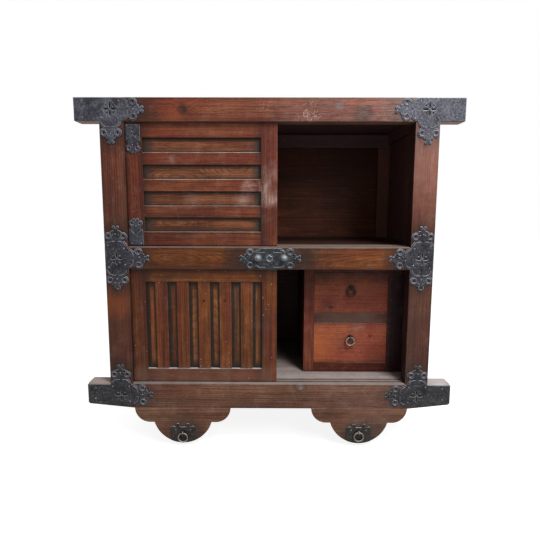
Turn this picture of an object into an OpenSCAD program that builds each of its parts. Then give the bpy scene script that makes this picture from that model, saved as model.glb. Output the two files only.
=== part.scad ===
// Wheeled merchant chest with sliding lattice doors, two drawers and wrought irons.
// X runs along the front, -Y is the front, Z is up; the ground is Z = 0.
// The origin lies on the ground, in the middle of the whole outline.

/* [Case] */
// Width of the case over the posts
case_width = 930; // [880:5:960]
// Length by which the top and bottom beams stand out past the posts, on each side
beam_overhang = 65; // [50:1:90]
// Depth of the case, without knobs
case_depth = 490; // [440:5:560]
// Depth of each front and rear frame member
frame_depth = 45; // [44:1:54]
// Width of the corner posts
post_width = 66; // [58:1:74]
// Height of the top beams
top_beam_height = 63; // [56:0.5:72]
// Height of the upper doorway
upper_bay_height = 342; // [300:2:380]
// Height of the middle rails
middle_rail_height = 65; // [56:1:76]
// Height of the lower doorway
lower_bay_height = 337; // [320:1:380]
// Height of the bottom beams
bottom_beam_height = 77; // [68:1:90]
// Rise of the beam's underside at its two ends
beam_end_rise = 13.5; // [0:0.5:20]
// Width of the worn bevel along the front top edges of the sills
edge_wear = 3.5; // [1:0.5:5]
// Thickness of the side rails
side_rail_thickness = 32; // [28:1:38]
// Distance of the side panels behind the outer face of the posts
side_panel_setback = 10; // [6:0.5:12]
// Distance of the back boards behind the rear frame's outer face
back_board_setback = 23; // [14:1:28]
// Thickness of the side panels and back boards
panel_thickness = 12; // [9:0.5:14]
// Depth of the grooves that hold panels
panel_groove = 8; // [5:0.5:10]
// Thickness of the top boards
top_board_thickness = 24; // [18:1:30]
// Thickness of the shelf and floor boards
floor_board_thickness = 15; // [12:0.5:20]
// Width of the ledge that the boards sit on
board_seat = 4; // [3:0.5:5]
// Number of planks side by side in the top, shelf and floor
planks = 3; // [1:1:5]
// Height of the board below the ceiling at the back
ceiling_cleat_height = 46; // [30:1:60]
// Distance from the beam's underside to the bottom of that board
ceiling_cleat_drop = 14; // [6:1:20]
// Width of the tenons
tenon_thickness = 12; // [10:1:14]
// Length of the post tenons
post_tenon = 30; // [20:1:36]
// Length of the rail tenons
rail_tenon = 14; // [10:1:15]

/* [Sliding doors] */
// Thickness of a door
door_thickness = 15.5; // [15:0.5:17]
// Amount by which the two doors of a bay overlap
door_overlap = 44; // [36:1:56]
// Distance of the front door behind the beam's face
door_inset = 10.5; // [8:0.5:11]
// Gap between the front and rear doors
door_gap = 2; // [1.5:0.5:3]
// Play of a door above and below
door_play = 1.2; // [0.6:0.1:2]
// Width of a door's running tongue
tongue_width = 7; // [6:0.5:8]
// Distance of a tongue behind its door's face
tongue_inset = 2.5; // [2:0.5:5]
// Side play of a tongue in its groove
tongue_play = 0.5; // [0.3:0.1:1]
// Depth of the upper grooves
upper_groove = 12; // [10:0.5:16]
// Depth of the sill grooves
sill_groove = 3; // [2:0.5:5]
// Distance of the door panel behind the lattice face
lattice_depth = 8.5; // [7:0.5:9]
// Thickness of the door panel
door_panel_thickness = 5; // [4:0.5:6]
// Setback of the slats from the stiles' face
slat_setback = 1; // [0:0.5:2]
// Width of the upper door stiles
upper_stile = 46; // [38:1:54]
// Height of the upper door rails
upper_door_rail = 41.5; // [34:0.5:50]
// Height of the upper door slats
upper_slat = 33.9; // [26:0.1:42]
// Number of horizontal slats in an upper door
upper_slats = 3; // [2:1:5]
// Width of the lower door stiles
lower_stile = 43; // [36:1:50]
// Height of the lower door's top rail
lower_top_rail = 38; // [30:1:46]
// Height of the lower door's bottom rail
lower_bottom_rail = 40.8; // [32:0.2:50]
// Width of the lower door bars
lower_bar = 34.2; // [26:0.2:42]
// Number of upright bars in a lower door
lower_bars = 5; // [3:1:6]
// Hair gap between joined pieces
hair_gap = 0.2; // [0.1:0.05:0.4]

/* [Drawer unit] */
// Distance of the unit's face behind the beam's face
unit_inset = 101; // [90:1:120]
// Width of the unit's right stile that shows beside the right post
unit_right_stile = 32.5; // [20:0.5:60]
// Width of the unit's left stile
unit_left_stile = 30.5; // [24:0.5:40]
// Width of the drawer fronts
drawer_width = 228.5; // [190:0.5:240]
// Height of the unit's bottom rail
unit_bottom_rail = 31; // [20:1:40]
// Height of the unit's middle rail
unit_middle_rail = 29; // [20:1:36]
// Height of the unit's top rail
unit_top_rail = 22; // [18:1:36]
// Thickness of the unit's face frame
unit_face = 22; // [18:1:28]
// Thickness of the unit's side and top boards
unit_board = 12; // [10:1:16]
// Thickness of the drawer fronts
drawer_front = 20; // [16:1:24]
// Thickness of the drawer sides and back
drawer_side = 11; // [9:1:14]
// Thickness of the drawer bottoms
drawer_bottom = 7; // [6:1:9]
// Length of a drawer, front to back
drawer_length = 296; // [240:2:310]
// Play around a drawer front
drawer_play = 0.8; // [0.4:0.1:1.5]

/* [Brackets and wheels] */
// Height of the bracket boards
bracket_height = 108; // [100:1:124]
// Half the length of a bracket board
bracket_half = 141.5; // [125:0.5:150]
// Distance of a bracket from the middle of the chest
bracket_centre = 261; // [230:1:275]
// Distance that the brackets and wheels sit off the middle, to the right
bracket_shift = 6; // [0:1:8]
// Amount by which a bracket board is thinner than the frame
bracket_recess = 5; // [0:1:10]
// Radius of a bracket's shoulders
shoulder_radius = 44; // [36:1:46]
// Radius of a bracket's round lobe
lobe_radius = 88; // [80:1:96]
// Radius of the wheels
wheel_radius = 75; // [68:1:80]
// Thickness of the wheels
wheel_thickness = 45; // [36:1:54]
// Amount by which the wheels stand below the brackets
wheel_drop = 12; // [6:1:18]
// Radius of the axles
axle_radius = 12; // [9:0.5:14]
// Play of a wheel on its axle
wheel_play = 0.4; // [0.3:0.1:0.8]
// Depth of the axle's seat in a bracket
axle_seat = 25; // [15:1:30]
// Radius of the collars beside the wheels
collar_radius = 21; // [18:1:28]
// Distance of the wheels behind the beam
wheel_clear = 5; // [3:0.5:12]
// Radius of the pins that keep the wheels on
pin_radius = 3; // [2:0.5:4]

/* [Irons] */
// Thickness of the iron plates
iron_thickness = 2; // [1:0.5:3]
// Length of an iron's scrolled arm from the middle of its flower
arm_length = 92.5; // [84:0.5:98]
// Radius of the scroll eyes of the arms
scroll_radius = 12.5; // [9:0.5:13]
// Length of the irons folded round the beam ends
end_fold = 40; // [20:1:50]
// Half the length of the middle plate
centre_half = 87; // [84:0.5:92]
// Diameter of the domed knobs
knob_diameter = 22.5; // [18:0.5:26]
// Height of the domed knobs
knob_height = 11; // [8:0.5:11]
// Distance between the two domed knobs
knob_spacing = 74; // [66:1:80]
// Outer diameter of the bracket rings
bracket_ring = 31; // [27:0.5:34]
// Wire diameter of the bracket rings
bracket_wire = 4; // [3:0.5:5]
// Outer diameter of the drawer rings
drawer_ring = 29; // [25:0.5:32]
// Wire diameter of the drawer rings
drawer_wire = 4.5; // [3:0.5:5]
// Wire diameter of the ring staples
staple_wire = 3; // [2:0.5:4]
// Play of a ring in its staple
ring_play = 0.7; // [0.3:0.1:0.9]
// Diameter of the round plate behind a drawer ring
washer_diameter = 16; // [13:0.5:20]

/* [Hidden] */
$fn = 64;
cut = 1;
fit = 0.1;
turn_fit = 0.3;

// Heights from the ground up
bracket_z = wheel_drop;
bottom_beam_z = bracket_z + bracket_height;
lower_bay_z = bottom_beam_z + bottom_beam_height;
middle_rail_z = lower_bay_z + lower_bay_height;
upper_bay_z = middle_rail_z + middle_rail_height;
top_beam_z = upper_bay_z + upper_bay_height;
top_z = top_beam_z + top_beam_height;

// Widths from the middle outwards
beam_length = case_width + 2 * beam_overhang;
beam_half = beam_length / 2;
case_half = case_width / 2;
bay_half = case_half - post_width;
post_centre = case_half - post_width / 2;
side_rail_inner = case_half - side_rail_thickness;
side_panel_outer = case_half - side_panel_setback;
side_panel_inner = side_panel_outer - panel_thickness;

// Depths from the front face, then the shift that centres the outline
rear_frame_y = case_depth - frame_depth;
back_board_rear = case_depth - back_board_setback;
back_board_front = back_board_rear - panel_thickness;
staple_hole = [bracket_wire / 2 + ring_play, drawer_wire / 2 + ring_play];
front_reach = iron_thickness + max(knob_height, 2 * (staple_hole[0] + staple_wire));
front_y = (front_reach - case_depth) / 2;

// Doors
door_width = bay_half + door_overlap / 2;
door_y = [door_inset, door_inset + door_thickness + door_gap];
groove_width = tongue_width + 2 * tongue_play;
groove_y = [for (y = door_y) y + tongue_inset - tongue_play];
door_side_play = 0.5;

// Drawer unit
unit_rear = rear_frame_y - 6;
drawer_right = bay_half - unit_right_stile;
drawer_left = drawer_right - drawer_width;
unit_left = drawer_left - unit_left_stile;
drawer_space = lower_bay_height - unit_bottom_rail - unit_middle_rail - unit_top_rail;
drawer_height = drawer_space / 2;
lower_drawer_z = lower_bay_z + unit_bottom_rail;
upper_drawer_z = lower_drawer_z + drawer_height + unit_middle_rail;
drawer_centre = (drawer_left + drawer_right) / 2;
runner_height = 14;
box_inset = 1;

// Wheels and brackets
bracket_thickness = frame_depth - bracket_recess;
axle_z = wheel_radius;
wheel_y = frame_depth + wheel_clear;
front_wheel_y = wheel_y;
rear_wheel_y = case_depth - wheel_y - wheel_thickness;
lobe_z = wheel_drop + lobe_radius;

// Left and right bracket
bracket_x = [bracket_shift - bracket_centre, bracket_shift + bracket_centre];
ring_z = [bracket_z + 32, bracket_z + 36];

// Irons
drawer_staple_rise = 17;
plate_lift = 0.5;

// Places everything behind the front face of the frame
module at_front() {
    translate([0, front_y, 0]) children();
}

// Box given by its low corner and its high corner
module span(low, high) {
    translate(low) cube(high - low);
}

// Makes a copy on the left of what is drawn on the right
module both_sides() {
    children();
    mirror([1, 0, 0]) children();
}

// Makes a copy in the rear frame of what is drawn in the front frame
module rear_copy() {
    translate([0, case_depth, 0]) mirror([0, 1, 0]) children();
}

// Cylinder along Y from one depth to another
module rod_y(x, z, radius, y_low, y_high) {
    translate([x, y_low, z]) rotate([-90, 0, 0]) cylinder(h = y_high - y_low, r = radius);
}

// Flat outline drawn in X and Z, given a thickness towards the front
module front_plate(thickness, y = 0) {
    translate([0, y, 0]) rotate([90, 0, 0]) linear_extrude(height = thickness) children();
}

// Spaces that the tenons, panels and boards take from the frame

module post_tenons(play = 0) {
    x_low = post_centre - post_width * 0.3;
    x_high = post_centre + post_width * 0.3;
    y_low = (frame_depth - tenon_thickness) / 2;
    span([x_low - play, y_low - play, lower_bay_z - post_tenon - play],
        [x_high + play, y_low + tenon_thickness + play, lower_bay_z + cut]);
    span([x_low - play, y_low - play, top_beam_z - cut],
        [x_high + play, y_low + tenon_thickness + play, top_beam_z + post_tenon + play]);
}

module middle_rail_tenons(play = 0) {
    y_low = (frame_depth - tenon_thickness) / 2;
    shoulder = middle_rail_height / 4;
    span([bay_half - cut, y_low - play, middle_rail_z + shoulder - play],
        [bay_half + rail_tenon + play, y_low + tenon_thickness + play, upper_bay_z - shoulder + play]);
}

// Lower and upper edge of each side rail
side_rail_levels = [
    [bottom_beam_z, lower_bay_z],
    [middle_rail_z, upper_bay_z],
    [top_beam_z, top_z]
];

module side_rail_tenons(play = 0) {
    middle = case_half - side_rail_thickness / 2;
    half = side_rail_thickness / 4;
    for (level = side_rail_levels) {
        shoulder = (level[1] - level[0]) / 4;
        span([middle - half - play, frame_depth - rail_tenon - play, level[0] + shoulder - play],
            [middle + half + play, frame_depth + cut, level[1] - shoulder + play]);
    }
}

module side_panel_space(play = 0) {
    for (level = [[lower_bay_z, middle_rail_z], [upper_bay_z, top_beam_z]])
        span([side_panel_inner - play, frame_depth - panel_groove - play, level[0] - panel_groove - play],
            [side_panel_outer + play, rear_frame_y + panel_groove + play, level[1] + panel_groove + play]);
}

module back_board_space(play = 0) {
    for (level = [[lower_bay_z, middle_rail_z], [upper_bay_z, top_beam_z]])
        span([-bay_half - panel_groove - play, back_board_front - play, level[0] - panel_groove - play],
            [bay_half + panel_groove + play, back_board_rear + play, level[1] + panel_groove + play]);
}

module board_space(top, thickness, play = 0) {
    reach_x = side_rail_inner + board_seat + play;
    span([-reach_x, frame_depth - board_seat - play, top - thickness - play],
        [reach_x, rear_frame_y + board_seat + play, top + cut]);
}

module all_board_spaces() {
    board_space(top_z, top_board_thickness, fit);
    board_space(upper_bay_z, floor_board_thickness, fit);
    board_space(lower_bay_z, floor_board_thickness, fit);
}

module frame_cuts() {
    both_sides() side_panel_space(fit);
    back_board_space(fit);
    all_board_spaces();
}

// Grooves that the doors run in

module door_grooves(z_low, z_high) {
    for (y = groove_y)
        span([-bay_half, y, z_low], [bay_half, y + groove_width, z_high]);
}

// Worn bevel along the front top edge of a beam or rail
module worn_edge(x_low, x_high, top) {
    translate([x_low, 0, 0]) rotate([90, 0, 90]) linear_extrude(height = x_high - x_low)
        polygon([[-cut, top - edge_wear - cut], [edge_wear + cut, top + cut], [-cut, top + cut]]);
}

// Beams, rails and posts

module top_beam() {
    difference() {
        span([-beam_half, 0, top_beam_z], [beam_half, frame_depth, top_z]);
        both_sides() post_tenons(fit);
        both_sides() side_rail_tenons(fit);
    }
}

module bottom_beam() {
    difference() {
        translate([0, frame_depth, 0]) rotate([90, 0, 0]) linear_extrude(height = frame_depth)
            polygon([
                [bracket_x[0] - bracket_half, bottom_beam_z], [bracket_x[1] + bracket_half, bottom_beam_z],
                [beam_half, bottom_beam_z + beam_end_rise], [beam_half, lower_bay_z],
                [-beam_half, lower_bay_z], [-beam_half, bottom_beam_z + beam_end_rise]
            ]);
        both_sides() post_tenons(fit);
        both_sides() side_rail_tenons(fit);
        worn_edge(-bay_half, bay_half, lower_bay_z);
        both_sides() worn_edge(case_half, beam_half + cut, lower_bay_z);
    }
}

module middle_rail() {
    difference() {
        span([-bay_half, 0, middle_rail_z], [bay_half, frame_depth, upper_bay_z]);
        worn_edge(-bay_half - cut, bay_half + cut, upper_bay_z);
    }
    both_sides() middle_rail_tenons();
}

module post() {
    difference() {
        union() {
            span([bay_half, 0, lower_bay_z], [case_half, frame_depth, top_beam_z]);
            post_tenons();
        }
        middle_rail_tenons(fit);
        side_rail_tenons(fit);
    }
}

module top_front_beam() {
    color("#6a3d31") at_front() difference() {
        top_beam();
        frame_cuts();
        door_grooves(top_beam_z - cut, top_beam_z + upper_groove);
    }
}

module middle_front_rail() {
    color("#63392f") at_front() difference() {
        middle_rail();
        frame_cuts();
        door_grooves(middle_rail_z - cut, middle_rail_z + upper_groove);
        door_grooves(upper_bay_z - sill_groove, upper_bay_z + cut);
    }
}

module bottom_front_beam() {
    color("#6a3d31") at_front() difference() {
        bottom_beam();
        frame_cuts();
        door_grooves(lower_bay_z - sill_groove, lower_bay_z + cut);
    }
}

module right_front_post() {
    color("#6e3a2d") at_front() difference() {
        post();
        frame_cuts();
    }
}

module left_front_post() {
    mirror([1, 0, 0]) right_front_post();
}

module top_rear_beam() {
    color("#5e372c") at_front() difference() {
        rear_copy() top_beam();
        frame_cuts();
    }
}

module middle_rear_rail() {
    color("#5e372c") at_front() difference() {
        rear_copy() middle_rail();
        frame_cuts();
    }
}

module bottom_rear_beam() {
    color("#5e372c") at_front() difference() {
        rear_copy() bottom_beam();
        frame_cuts();
    }
}

module right_rear_post() {
    color("#5e372c") at_front() difference() {
        rear_copy() post();
        frame_cuts();
    }
}

module left_rear_post() {
    mirror([1, 0, 0]) right_rear_post();
}

// Side rails, panels and boards

module right_side_rails() {
    color("#603628") at_front() difference() {
        union() {
            for (level = side_rail_levels)
                span([side_rail_inner, frame_depth, level[0]], [case_half, rear_frame_y, level[1]]);
            side_rail_tenons();
            rear_copy() side_rail_tenons();
        }
        frame_cuts();
    }
}

module left_side_rails() {
    mirror([1, 0, 0]) right_side_rails();
}

module right_side_panels() {
    color("#6f4232") at_front() side_panel_space();
}

module left_side_panels() {
    mirror([1, 0, 0]) right_side_panels();
}

// Splits what is drawn into planks, along X or along Z, with hair gaps between
module planked(count, low, high, along_z = false) {
    pitch = (high - low) / count;
    difference() {
        children();
        for (i = [1 : 1 : count - 1]) {
            line = low + i * pitch;
            if (along_z)
                span([-beam_length, -cut, line - hair_gap / 2], [beam_length, case_depth + cut, line + hair_gap / 2]);
            else
                span([-beam_length, line - hair_gap / 2, 0], [beam_length, line + hair_gap / 2, top_z + 2 * cut]);
        }
    }
}

module back_boards() {
    color("#7a4c35") at_front()
        planked(planks, upper_bay_z, top_beam_z, true)
            planked(planks, lower_bay_z, middle_rail_z, true)
                back_board_space();
}

// One level of boards, cut into planks front to back
module board_level(top, thickness) {
    reach_x = side_rail_inner + board_seat;
    planked(planks, frame_depth, rear_frame_y)
        span([-reach_x, frame_depth - board_seat, top - thickness],
            [reach_x, rear_frame_y + board_seat, top]);
}

module top_boards() {
    color("#6a3f31") at_front() board_level(top_z, top_board_thickness);
}

module shelf_boards() {
    color("#8a6a58") at_front() board_level(upper_bay_z, floor_board_thickness);
}

module floor_boards() {
    color("#8a6a58") at_front() board_level(lower_bay_z, floor_board_thickness);
}

module ceiling_cleat() {
    cleat_depth = 14;
    bottom = top_beam_z - ceiling_cleat_drop;
    top = min(bottom + ceiling_cleat_height, top_z - top_board_thickness);
    color("#5a3527") at_front()
        span([-side_rail_inner, rear_frame_y - cleat_depth, bottom], [side_rail_inner, rear_frame_y, top]);
}

// Lobed bracket boards

module bracket_outline() {
    flat = bracket_half - shoulder_radius;
    top = bottom_beam_z;
    intersection() {
        translate([-bracket_half, 0]) square([2 * bracket_half, top]);
        union() {
            translate([-flat, top]) circle(r = shoulder_radius);
            translate([flat, top]) circle(r = shoulder_radius);
            translate([-flat, top - shoulder_radius]) square([2 * flat, shoulder_radius]);
            translate([0, lobe_z]) circle(r = lobe_radius);
        }
    }
}

module bracket_board(x) {
    difference() {
        translate([x, 0, 0]) front_plate(bracket_thickness, bracket_thickness) bracket_outline();
        rod_y(x, axle_z, axle_radius + fit, bracket_thickness - axle_seat, bracket_thickness + cut);
    }
}

module front_brackets() {
    color("#68392b") at_front() for (side = [0, 1]) difference() {
        bracket_board(bracket_x[side]);
        rod_y(bracket_x[side], ring_z[side], staple_wire / 2, -cut, staple_shank + fit);
    }
}

module rear_brackets() {
    color("#5e372c") at_front() rear_copy() for (x = bracket_x) bracket_board(x);
}

// Wheels and axles

axle_front = bracket_thickness - axle_seat;

module axle_pin(x, y, radius) {
    translate([x, y, axle_z - collar_radius]) cylinder(h = 2 * collar_radius, r = radius);
}

pin_y = front_wheel_y + wheel_thickness + pin_radius + 1;

module wheel_axles() {
    color("#5b4334") at_front() for (x = bracket_x) difference() {
        rod_y(x, axle_z, axle_radius, axle_front, case_depth - axle_front);
        axle_pin(x, pin_y, pin_radius + fit / 2);
        rear_copy() axle_pin(x, pin_y, pin_radius + fit / 2);
    }
}

module axle_pins() {
    color("#4b3a2e") at_front() for (x = bracket_x) {
        axle_pin(x, pin_y, pin_radius);
        rear_copy() axle_pin(x, pin_y, pin_radius);
    }
}

module axle_collar(x) {
    difference() {
        rod_y(x, axle_z, collar_radius, bracket_thickness, front_wheel_y - turn_fit);
        rod_y(x, axle_z, axle_radius + fit, bracket_thickness - cut, front_wheel_y + cut);
    }
}

module axle_collars() {
    color("#5b4334") at_front() for (x = bracket_x) {
        axle_collar(x);
        rear_copy() axle_collar(x);
    }
}

// Solid disc with worn, chamfered rims and a raised hub
module wheel(x, y) {
    rim = 4;
    hub = 30;
    dish = 4;
    translate([x, y, axle_z]) rotate([-90, 0, 0]) difference() {
        rotate_extrude() polygon([
            [0, 0], [hub, 0], [hub + dish, dish], [wheel_radius - rim - dish, dish],
            [wheel_radius - rim, 0], [wheel_radius, rim],
            [wheel_radius, wheel_thickness - rim], [wheel_radius - rim, wheel_thickness],
            [wheel_radius - rim - dish, wheel_thickness - dish], [hub + dish, wheel_thickness - dish],
            [hub, wheel_thickness], [0, wheel_thickness]
        ]);
        translate([0, 0, -cut]) cylinder(h = wheel_thickness + 2 * cut, r = axle_radius + wheel_play);
    }
}

module left_front_wheel() {
    color("#5e3b2c") at_front() wheel(bracket_x[0], front_wheel_y);
}

module right_front_wheel() {
    color("#5e3b2c") at_front() wheel(bracket_x[1], front_wheel_y);
}

module left_rear_wheel() {
    color("#5e3b2c") at_front() wheel(bracket_x[0], rear_wheel_y);
}

module right_rear_wheel() {
    color("#5e3b2c") at_front() wheel(bracket_x[1], rear_wheel_y);
}

// Drawer unit

module unit_stiles() {
    color("#6b3b2a") at_front() {
        span([unit_left, unit_inset, lower_bay_z], [drawer_left, unit_inset + unit_face, middle_rail_z]);
        span([drawer_right, unit_inset, lower_bay_z], [side_panel_inner, unit_inset + unit_face, middle_rail_z]);
    }
}

module unit_rails() {
    left = drawer_left + hair_gap;
    right = drawer_right - hair_gap;
    color("#70402d") at_front() {
        span([left, unit_inset, lower_bay_z], [right, unit_inset + unit_face, lower_drawer_z]);
        span([left, unit_inset, lower_drawer_z + drawer_height], [right, unit_inset + unit_face, upper_drawer_z]);
        span([left, unit_inset, upper_drawer_z + drawer_height], [right, unit_inset + unit_face, middle_rail_z]);
    }
}

module unit_left_side() {
    color("#6b4433") at_front()
        span([unit_left, unit_inset + unit_face, lower_bay_z],
            [unit_left + unit_board, unit_rear, middle_rail_z - unit_board]);
}

module unit_top_board() {
    color("#6b4433") at_front()
        span([unit_left, unit_inset + unit_face, middle_rail_z - unit_board],
            [side_panel_inner, unit_rear, middle_rail_z]);
}

// Runners below the drawers and guides beside them
module drawer_runners() {
    front = unit_inset + unit_face;
    lap = 16;
    box_left = drawer_left + drawer_play + box_inset;
    box_right = drawer_right - drawer_play - box_inset;
    color("#7d5a40") at_front() for (z = [lower_drawer_z, upper_drawer_z]) {
        span([unit_left + unit_board, front, z - runner_height], [drawer_left + lap, unit_rear, z]);
        span([unit_left + unit_board, front, z + hair_gap], [box_left - turn_fit, unit_rear, z + runner_height]);
        span([drawer_right - lap, front, z - runner_height], [side_panel_inner, unit_rear, z]);
        span([box_right + turn_fit, front, z + hair_gap], [side_panel_inner, unit_rear, z + runner_height]);
    }
}

// Drawers

module drawer_face(z) {
    difference() {
        span([drawer_left + drawer_play, unit_inset, z + turn_fit],
            [drawer_right - drawer_play, unit_inset + drawer_front, z + drawer_height - drawer_play]);
        rod_y(drawer_centre, drawer_staple_z(z), staple_wire / 2, unit_inset - cut, unit_inset + staple_shank + fit);
    }
}

function drawer_staple_z(z) = z + drawer_height / 2 + drawer_staple_rise;

// Sides, back and bottom, joined with hair gaps
module drawer_box(z) {
    left = drawer_left + drawer_play + box_inset;
    right = drawer_right - drawer_play - box_inset;
    front = unit_inset + drawer_front;
    rear = unit_inset + drawer_length;
    base = z + turn_fit;
    side_top = z + drawer_height - 8;
    span([left, front, base], [left + drawer_side, rear, side_top]);
    span([right - drawer_side, front, base], [right, rear, side_top]);
    span([left + drawer_side + hair_gap, rear - drawer_side, base + drawer_bottom + hair_gap],
        [right - drawer_side - hair_gap, rear, side_top]);
    span([left + drawer_side + hair_gap, front, base],
        [right - drawer_side - hair_gap, rear, base + drawer_bottom]);
}

// Ring staples: an eye that stands out from the face, on a shank driven into the wood

staple_shank = 12;

function eye_radius(hole) = hole + staple_wire / 2;
function eye_reach(hole, lift) = lift + hole + staple_wire;

module staple(x, y, z, hole, lift) {
    eye_y = y - eye_reach(hole, lift);
    translate([x, eye_y, z]) rotate([0, 90, 0]) rotate_extrude()
        translate([eye_radius(hole), 0]) circle(d = staple_wire);
    rod_y(x, z, staple_wire / 2 - fit / 2, y - lift - staple_wire / 2, y + staple_shank);
}

module washer(x, y, z) {
    rod_y(x, z, washer_diameter / 2, y - iron_thickness, y);
}

// Ring that hangs in its staple, in the plane of the front
module hanging_ring(x, y, z, outer, wire) {
    middle = (outer - wire) / 2;
    translate([x, y, z - middle]) rotate([90, 0, 0]) rotate_extrude()
        translate([middle, 0]) circle(d = wire);
}

module drawer_fittings(z) {
    difference() {
        washer(drawer_centre, unit_inset, drawer_staple_z(z));
        rod_y(drawer_centre, drawer_staple_z(z), staple_wire / 4, unit_inset - 2 * iron_thickness, unit_inset);
    }
    staple(drawer_centre, unit_inset, drawer_staple_z(z), staple_hole[1], iron_thickness);
}

module drawer_pull(z) {
    hanging_ring(drawer_centre, unit_inset - eye_reach(staple_hole[1], iron_thickness),
        drawer_staple_z(z), drawer_ring, drawer_wire);
}

module upper_drawer_front() {
    color("#8a4428") at_front() drawer_face(upper_drawer_z);
}

module upper_drawer_box() {
    color("#8a6344") at_front() drawer_box(upper_drawer_z);
}

module upper_drawer_staple() {
    color("#565b60") at_front() drawer_fittings(upper_drawer_z);
}

module upper_drawer_ring() {
    color("#6a645a") at_front() drawer_pull(upper_drawer_z);
}

module lower_drawer_front() {
    color("#8a4428") at_front() drawer_face(lower_drawer_z);
}

module lower_drawer_box() {
    color("#8a6344") at_front() drawer_box(lower_drawer_z);
}

module lower_drawer_staple() {
    color("#565b60") at_front() drawer_fittings(lower_drawer_z);
}

module lower_drawer_ring() {
    color("#6a645a") at_front() drawer_pull(lower_drawer_z);
}

// Sliding doors; track 0 is the front pair of grooves, track 1 the rear

door_left = -bay_half + door_side_play;
door_right = door_left + door_width;

module door_tongues(track, z_low, z_high) {
    y = groove_y[track] + tongue_play;
    span([door_left, y, z_low - sill_groove + turn_fit], [door_right, y + tongue_width, z_low + door_play]);
    span([door_left, y, z_high - door_play], [door_right, y + tongue_width, z_high + upper_groove - 2 * door_play]);
}

// Two stiles and two rails, with tongues, divided by hair gaps
module door_frame(track, z_low, z_high, stile, bottom_rail, top_rail) {
    y = door_y[track];
    difference() {
        union() {
            span([door_left, y, z_low + door_play], [door_right, y + door_thickness, z_high - door_play]);
            door_tongues(track, z_low, z_high);
        }
        span([door_left + stile, y - cut, z_low + bottom_rail],
            [door_right - stile, y + door_thickness + cut, z_high - top_rail]);
        for (x = [door_left + stile, door_right - stile])
            span([x - hair_gap / 2, y - cut, z_low - upper_groove],
                [x + hair_gap / 2, y + door_thickness + cut, z_high + 2 * upper_groove]);
        door_panel_space(track, z_low, z_high, stile, bottom_rail, top_rail, fit);
    }
}

module door_panel_space(track, z_low, z_high, stile, bottom_rail, top_rail, play = 0) {
    y = door_y[track] + lattice_depth;
    edge = stile - panel_groove;
    span([door_left + edge - play, y - play, z_low + bottom_rail - panel_groove - play],
        [door_right - edge + play, y + door_panel_thickness + play, z_high - top_rail + panel_groove + play]);
}

module upper_lattice(track) {
    y = door_y[track];
    z_low = upper_bay_z;
    z_high = top_beam_z;
    clear = upper_bay_height - 2 * upper_door_rail - upper_slats * upper_slat;
    gap = clear / (upper_slats + 1);
    color("#7a3a2a") at_front() {
        door_frame(track, z_low, z_high, upper_stile, upper_door_rail, upper_door_rail);
        for (i = [0 : upper_slats - 1]) {
            base = z_low + upper_door_rail + gap + i * (upper_slat + gap);
            span([door_left + upper_stile + hair_gap, y + slat_setback, base],
                [door_right - upper_stile - hair_gap, y + lattice_depth, base + upper_slat]);
        }
    }
}

module lower_lattice(track) {
    y = door_y[track];
    z_low = lower_bay_z;
    z_high = middle_rail_z;
    clear = door_width - 2 * lower_stile - lower_bars * lower_bar;
    gap = clear / (lower_bars + 1);
    color("#7a3a2a") at_front() {
        door_frame(track, z_low, z_high, lower_stile, lower_bottom_rail, lower_top_rail);
        for (i = [0 : lower_bars - 1]) {
            base = door_left + lower_stile + gap + i * (lower_bar + gap);
            span([base, y + slat_setback, z_low + lower_bottom_rail + hair_gap],
                [base + lower_bar, y + lattice_depth, z_high - lower_top_rail - hair_gap]);
        }
    }
}

module upper_panel(track) {
    color("#8a5236") at_front()
        door_panel_space(track, upper_bay_z, top_beam_z, upper_stile, upper_door_rail, upper_door_rail);
}

module lower_panel(track) {
    color("#8a5236") at_front()
        door_panel_space(track, lower_bay_z, middle_rail_z, lower_stile, lower_bottom_rail, lower_top_rail);
}

module upper_front_door_lattice() {
    upper_lattice(0);
}

module upper_front_door_panel() {
    upper_panel(0);
}

module upper_rear_door_lattice() {
    upper_lattice(1);
}

module upper_rear_door_panel() {
    upper_panel(1);
}

module lower_front_door_lattice() {
    lower_lattice(0);
}

module lower_front_door_panel() {
    lower_panel(0);
}

module lower_rear_door_lattice() {
    lower_lattice(1);
}

module lower_rear_door_panel() {
    lower_panel(1);
}

// Places along an arm, from the middle of the flower to its tip
arm_body_x = 0.33 * arm_length;
arm_eye_x = 0.67 * arm_length;
arm_cusp_x = 0.795 * arm_length;
arm_neck_x = 0.93 * arm_length;
cusp_radius = 0.44 * scroll_radius;
crown_radius = 0.36 * scroll_radius;
neck_half = 0.52 * scroll_radius;
ring_tip_radius = 0.68 * scroll_radius;

// Outline of one scrolled arm that runs along +X from the middle of the flower
module arm_outline(half, ring_tip = false) {
    shoulder = half * 0.72;
    translate([0, -half]) square([arm_body_x, 2 * half]);
    for (side = [-1, 1]) {
        translate([arm_body_x, side * (half - shoulder)]) circle(r = shoulder);
        translate([arm_eye_x, side * (half - scroll_radius)]) circle(r = scroll_radius);
        translate([arm_cusp_x, side * half * 0.3]) circle(r = cusp_radius);
        if (!ring_tip)
            translate([arm_length - crown_radius, side * (crown_radius + 1)]) circle(r = crown_radius);
    }
    translate([0, -half / 2]) square([arm_eye_x + cusp_radius, half]);
    neck = ring_tip ? 0.7 * neck_half : neck_half;
    translate([arm_eye_x, -neck]) square([arm_neck_x - arm_eye_x, 2 * neck]);
    if (ring_tip)
        translate([arm_length - ring_tip_radius, 0]) circle(r = ring_tip_radius);
}

// Holes of one arm: the two scroll eyes, and the eye of a ring-shaped tip
module arm_holes(half, ring_tip = false) {
    for (side = [-1, 1])
        translate([arm_eye_x + 1, side * (half - scroll_radius + 1)]) circle(r = scroll_radius * 0.27);
    if (ring_tip)
        translate([arm_length - ring_tip_radius, 0]) circle(r = ring_tip_radius * 0.3);
}

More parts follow.
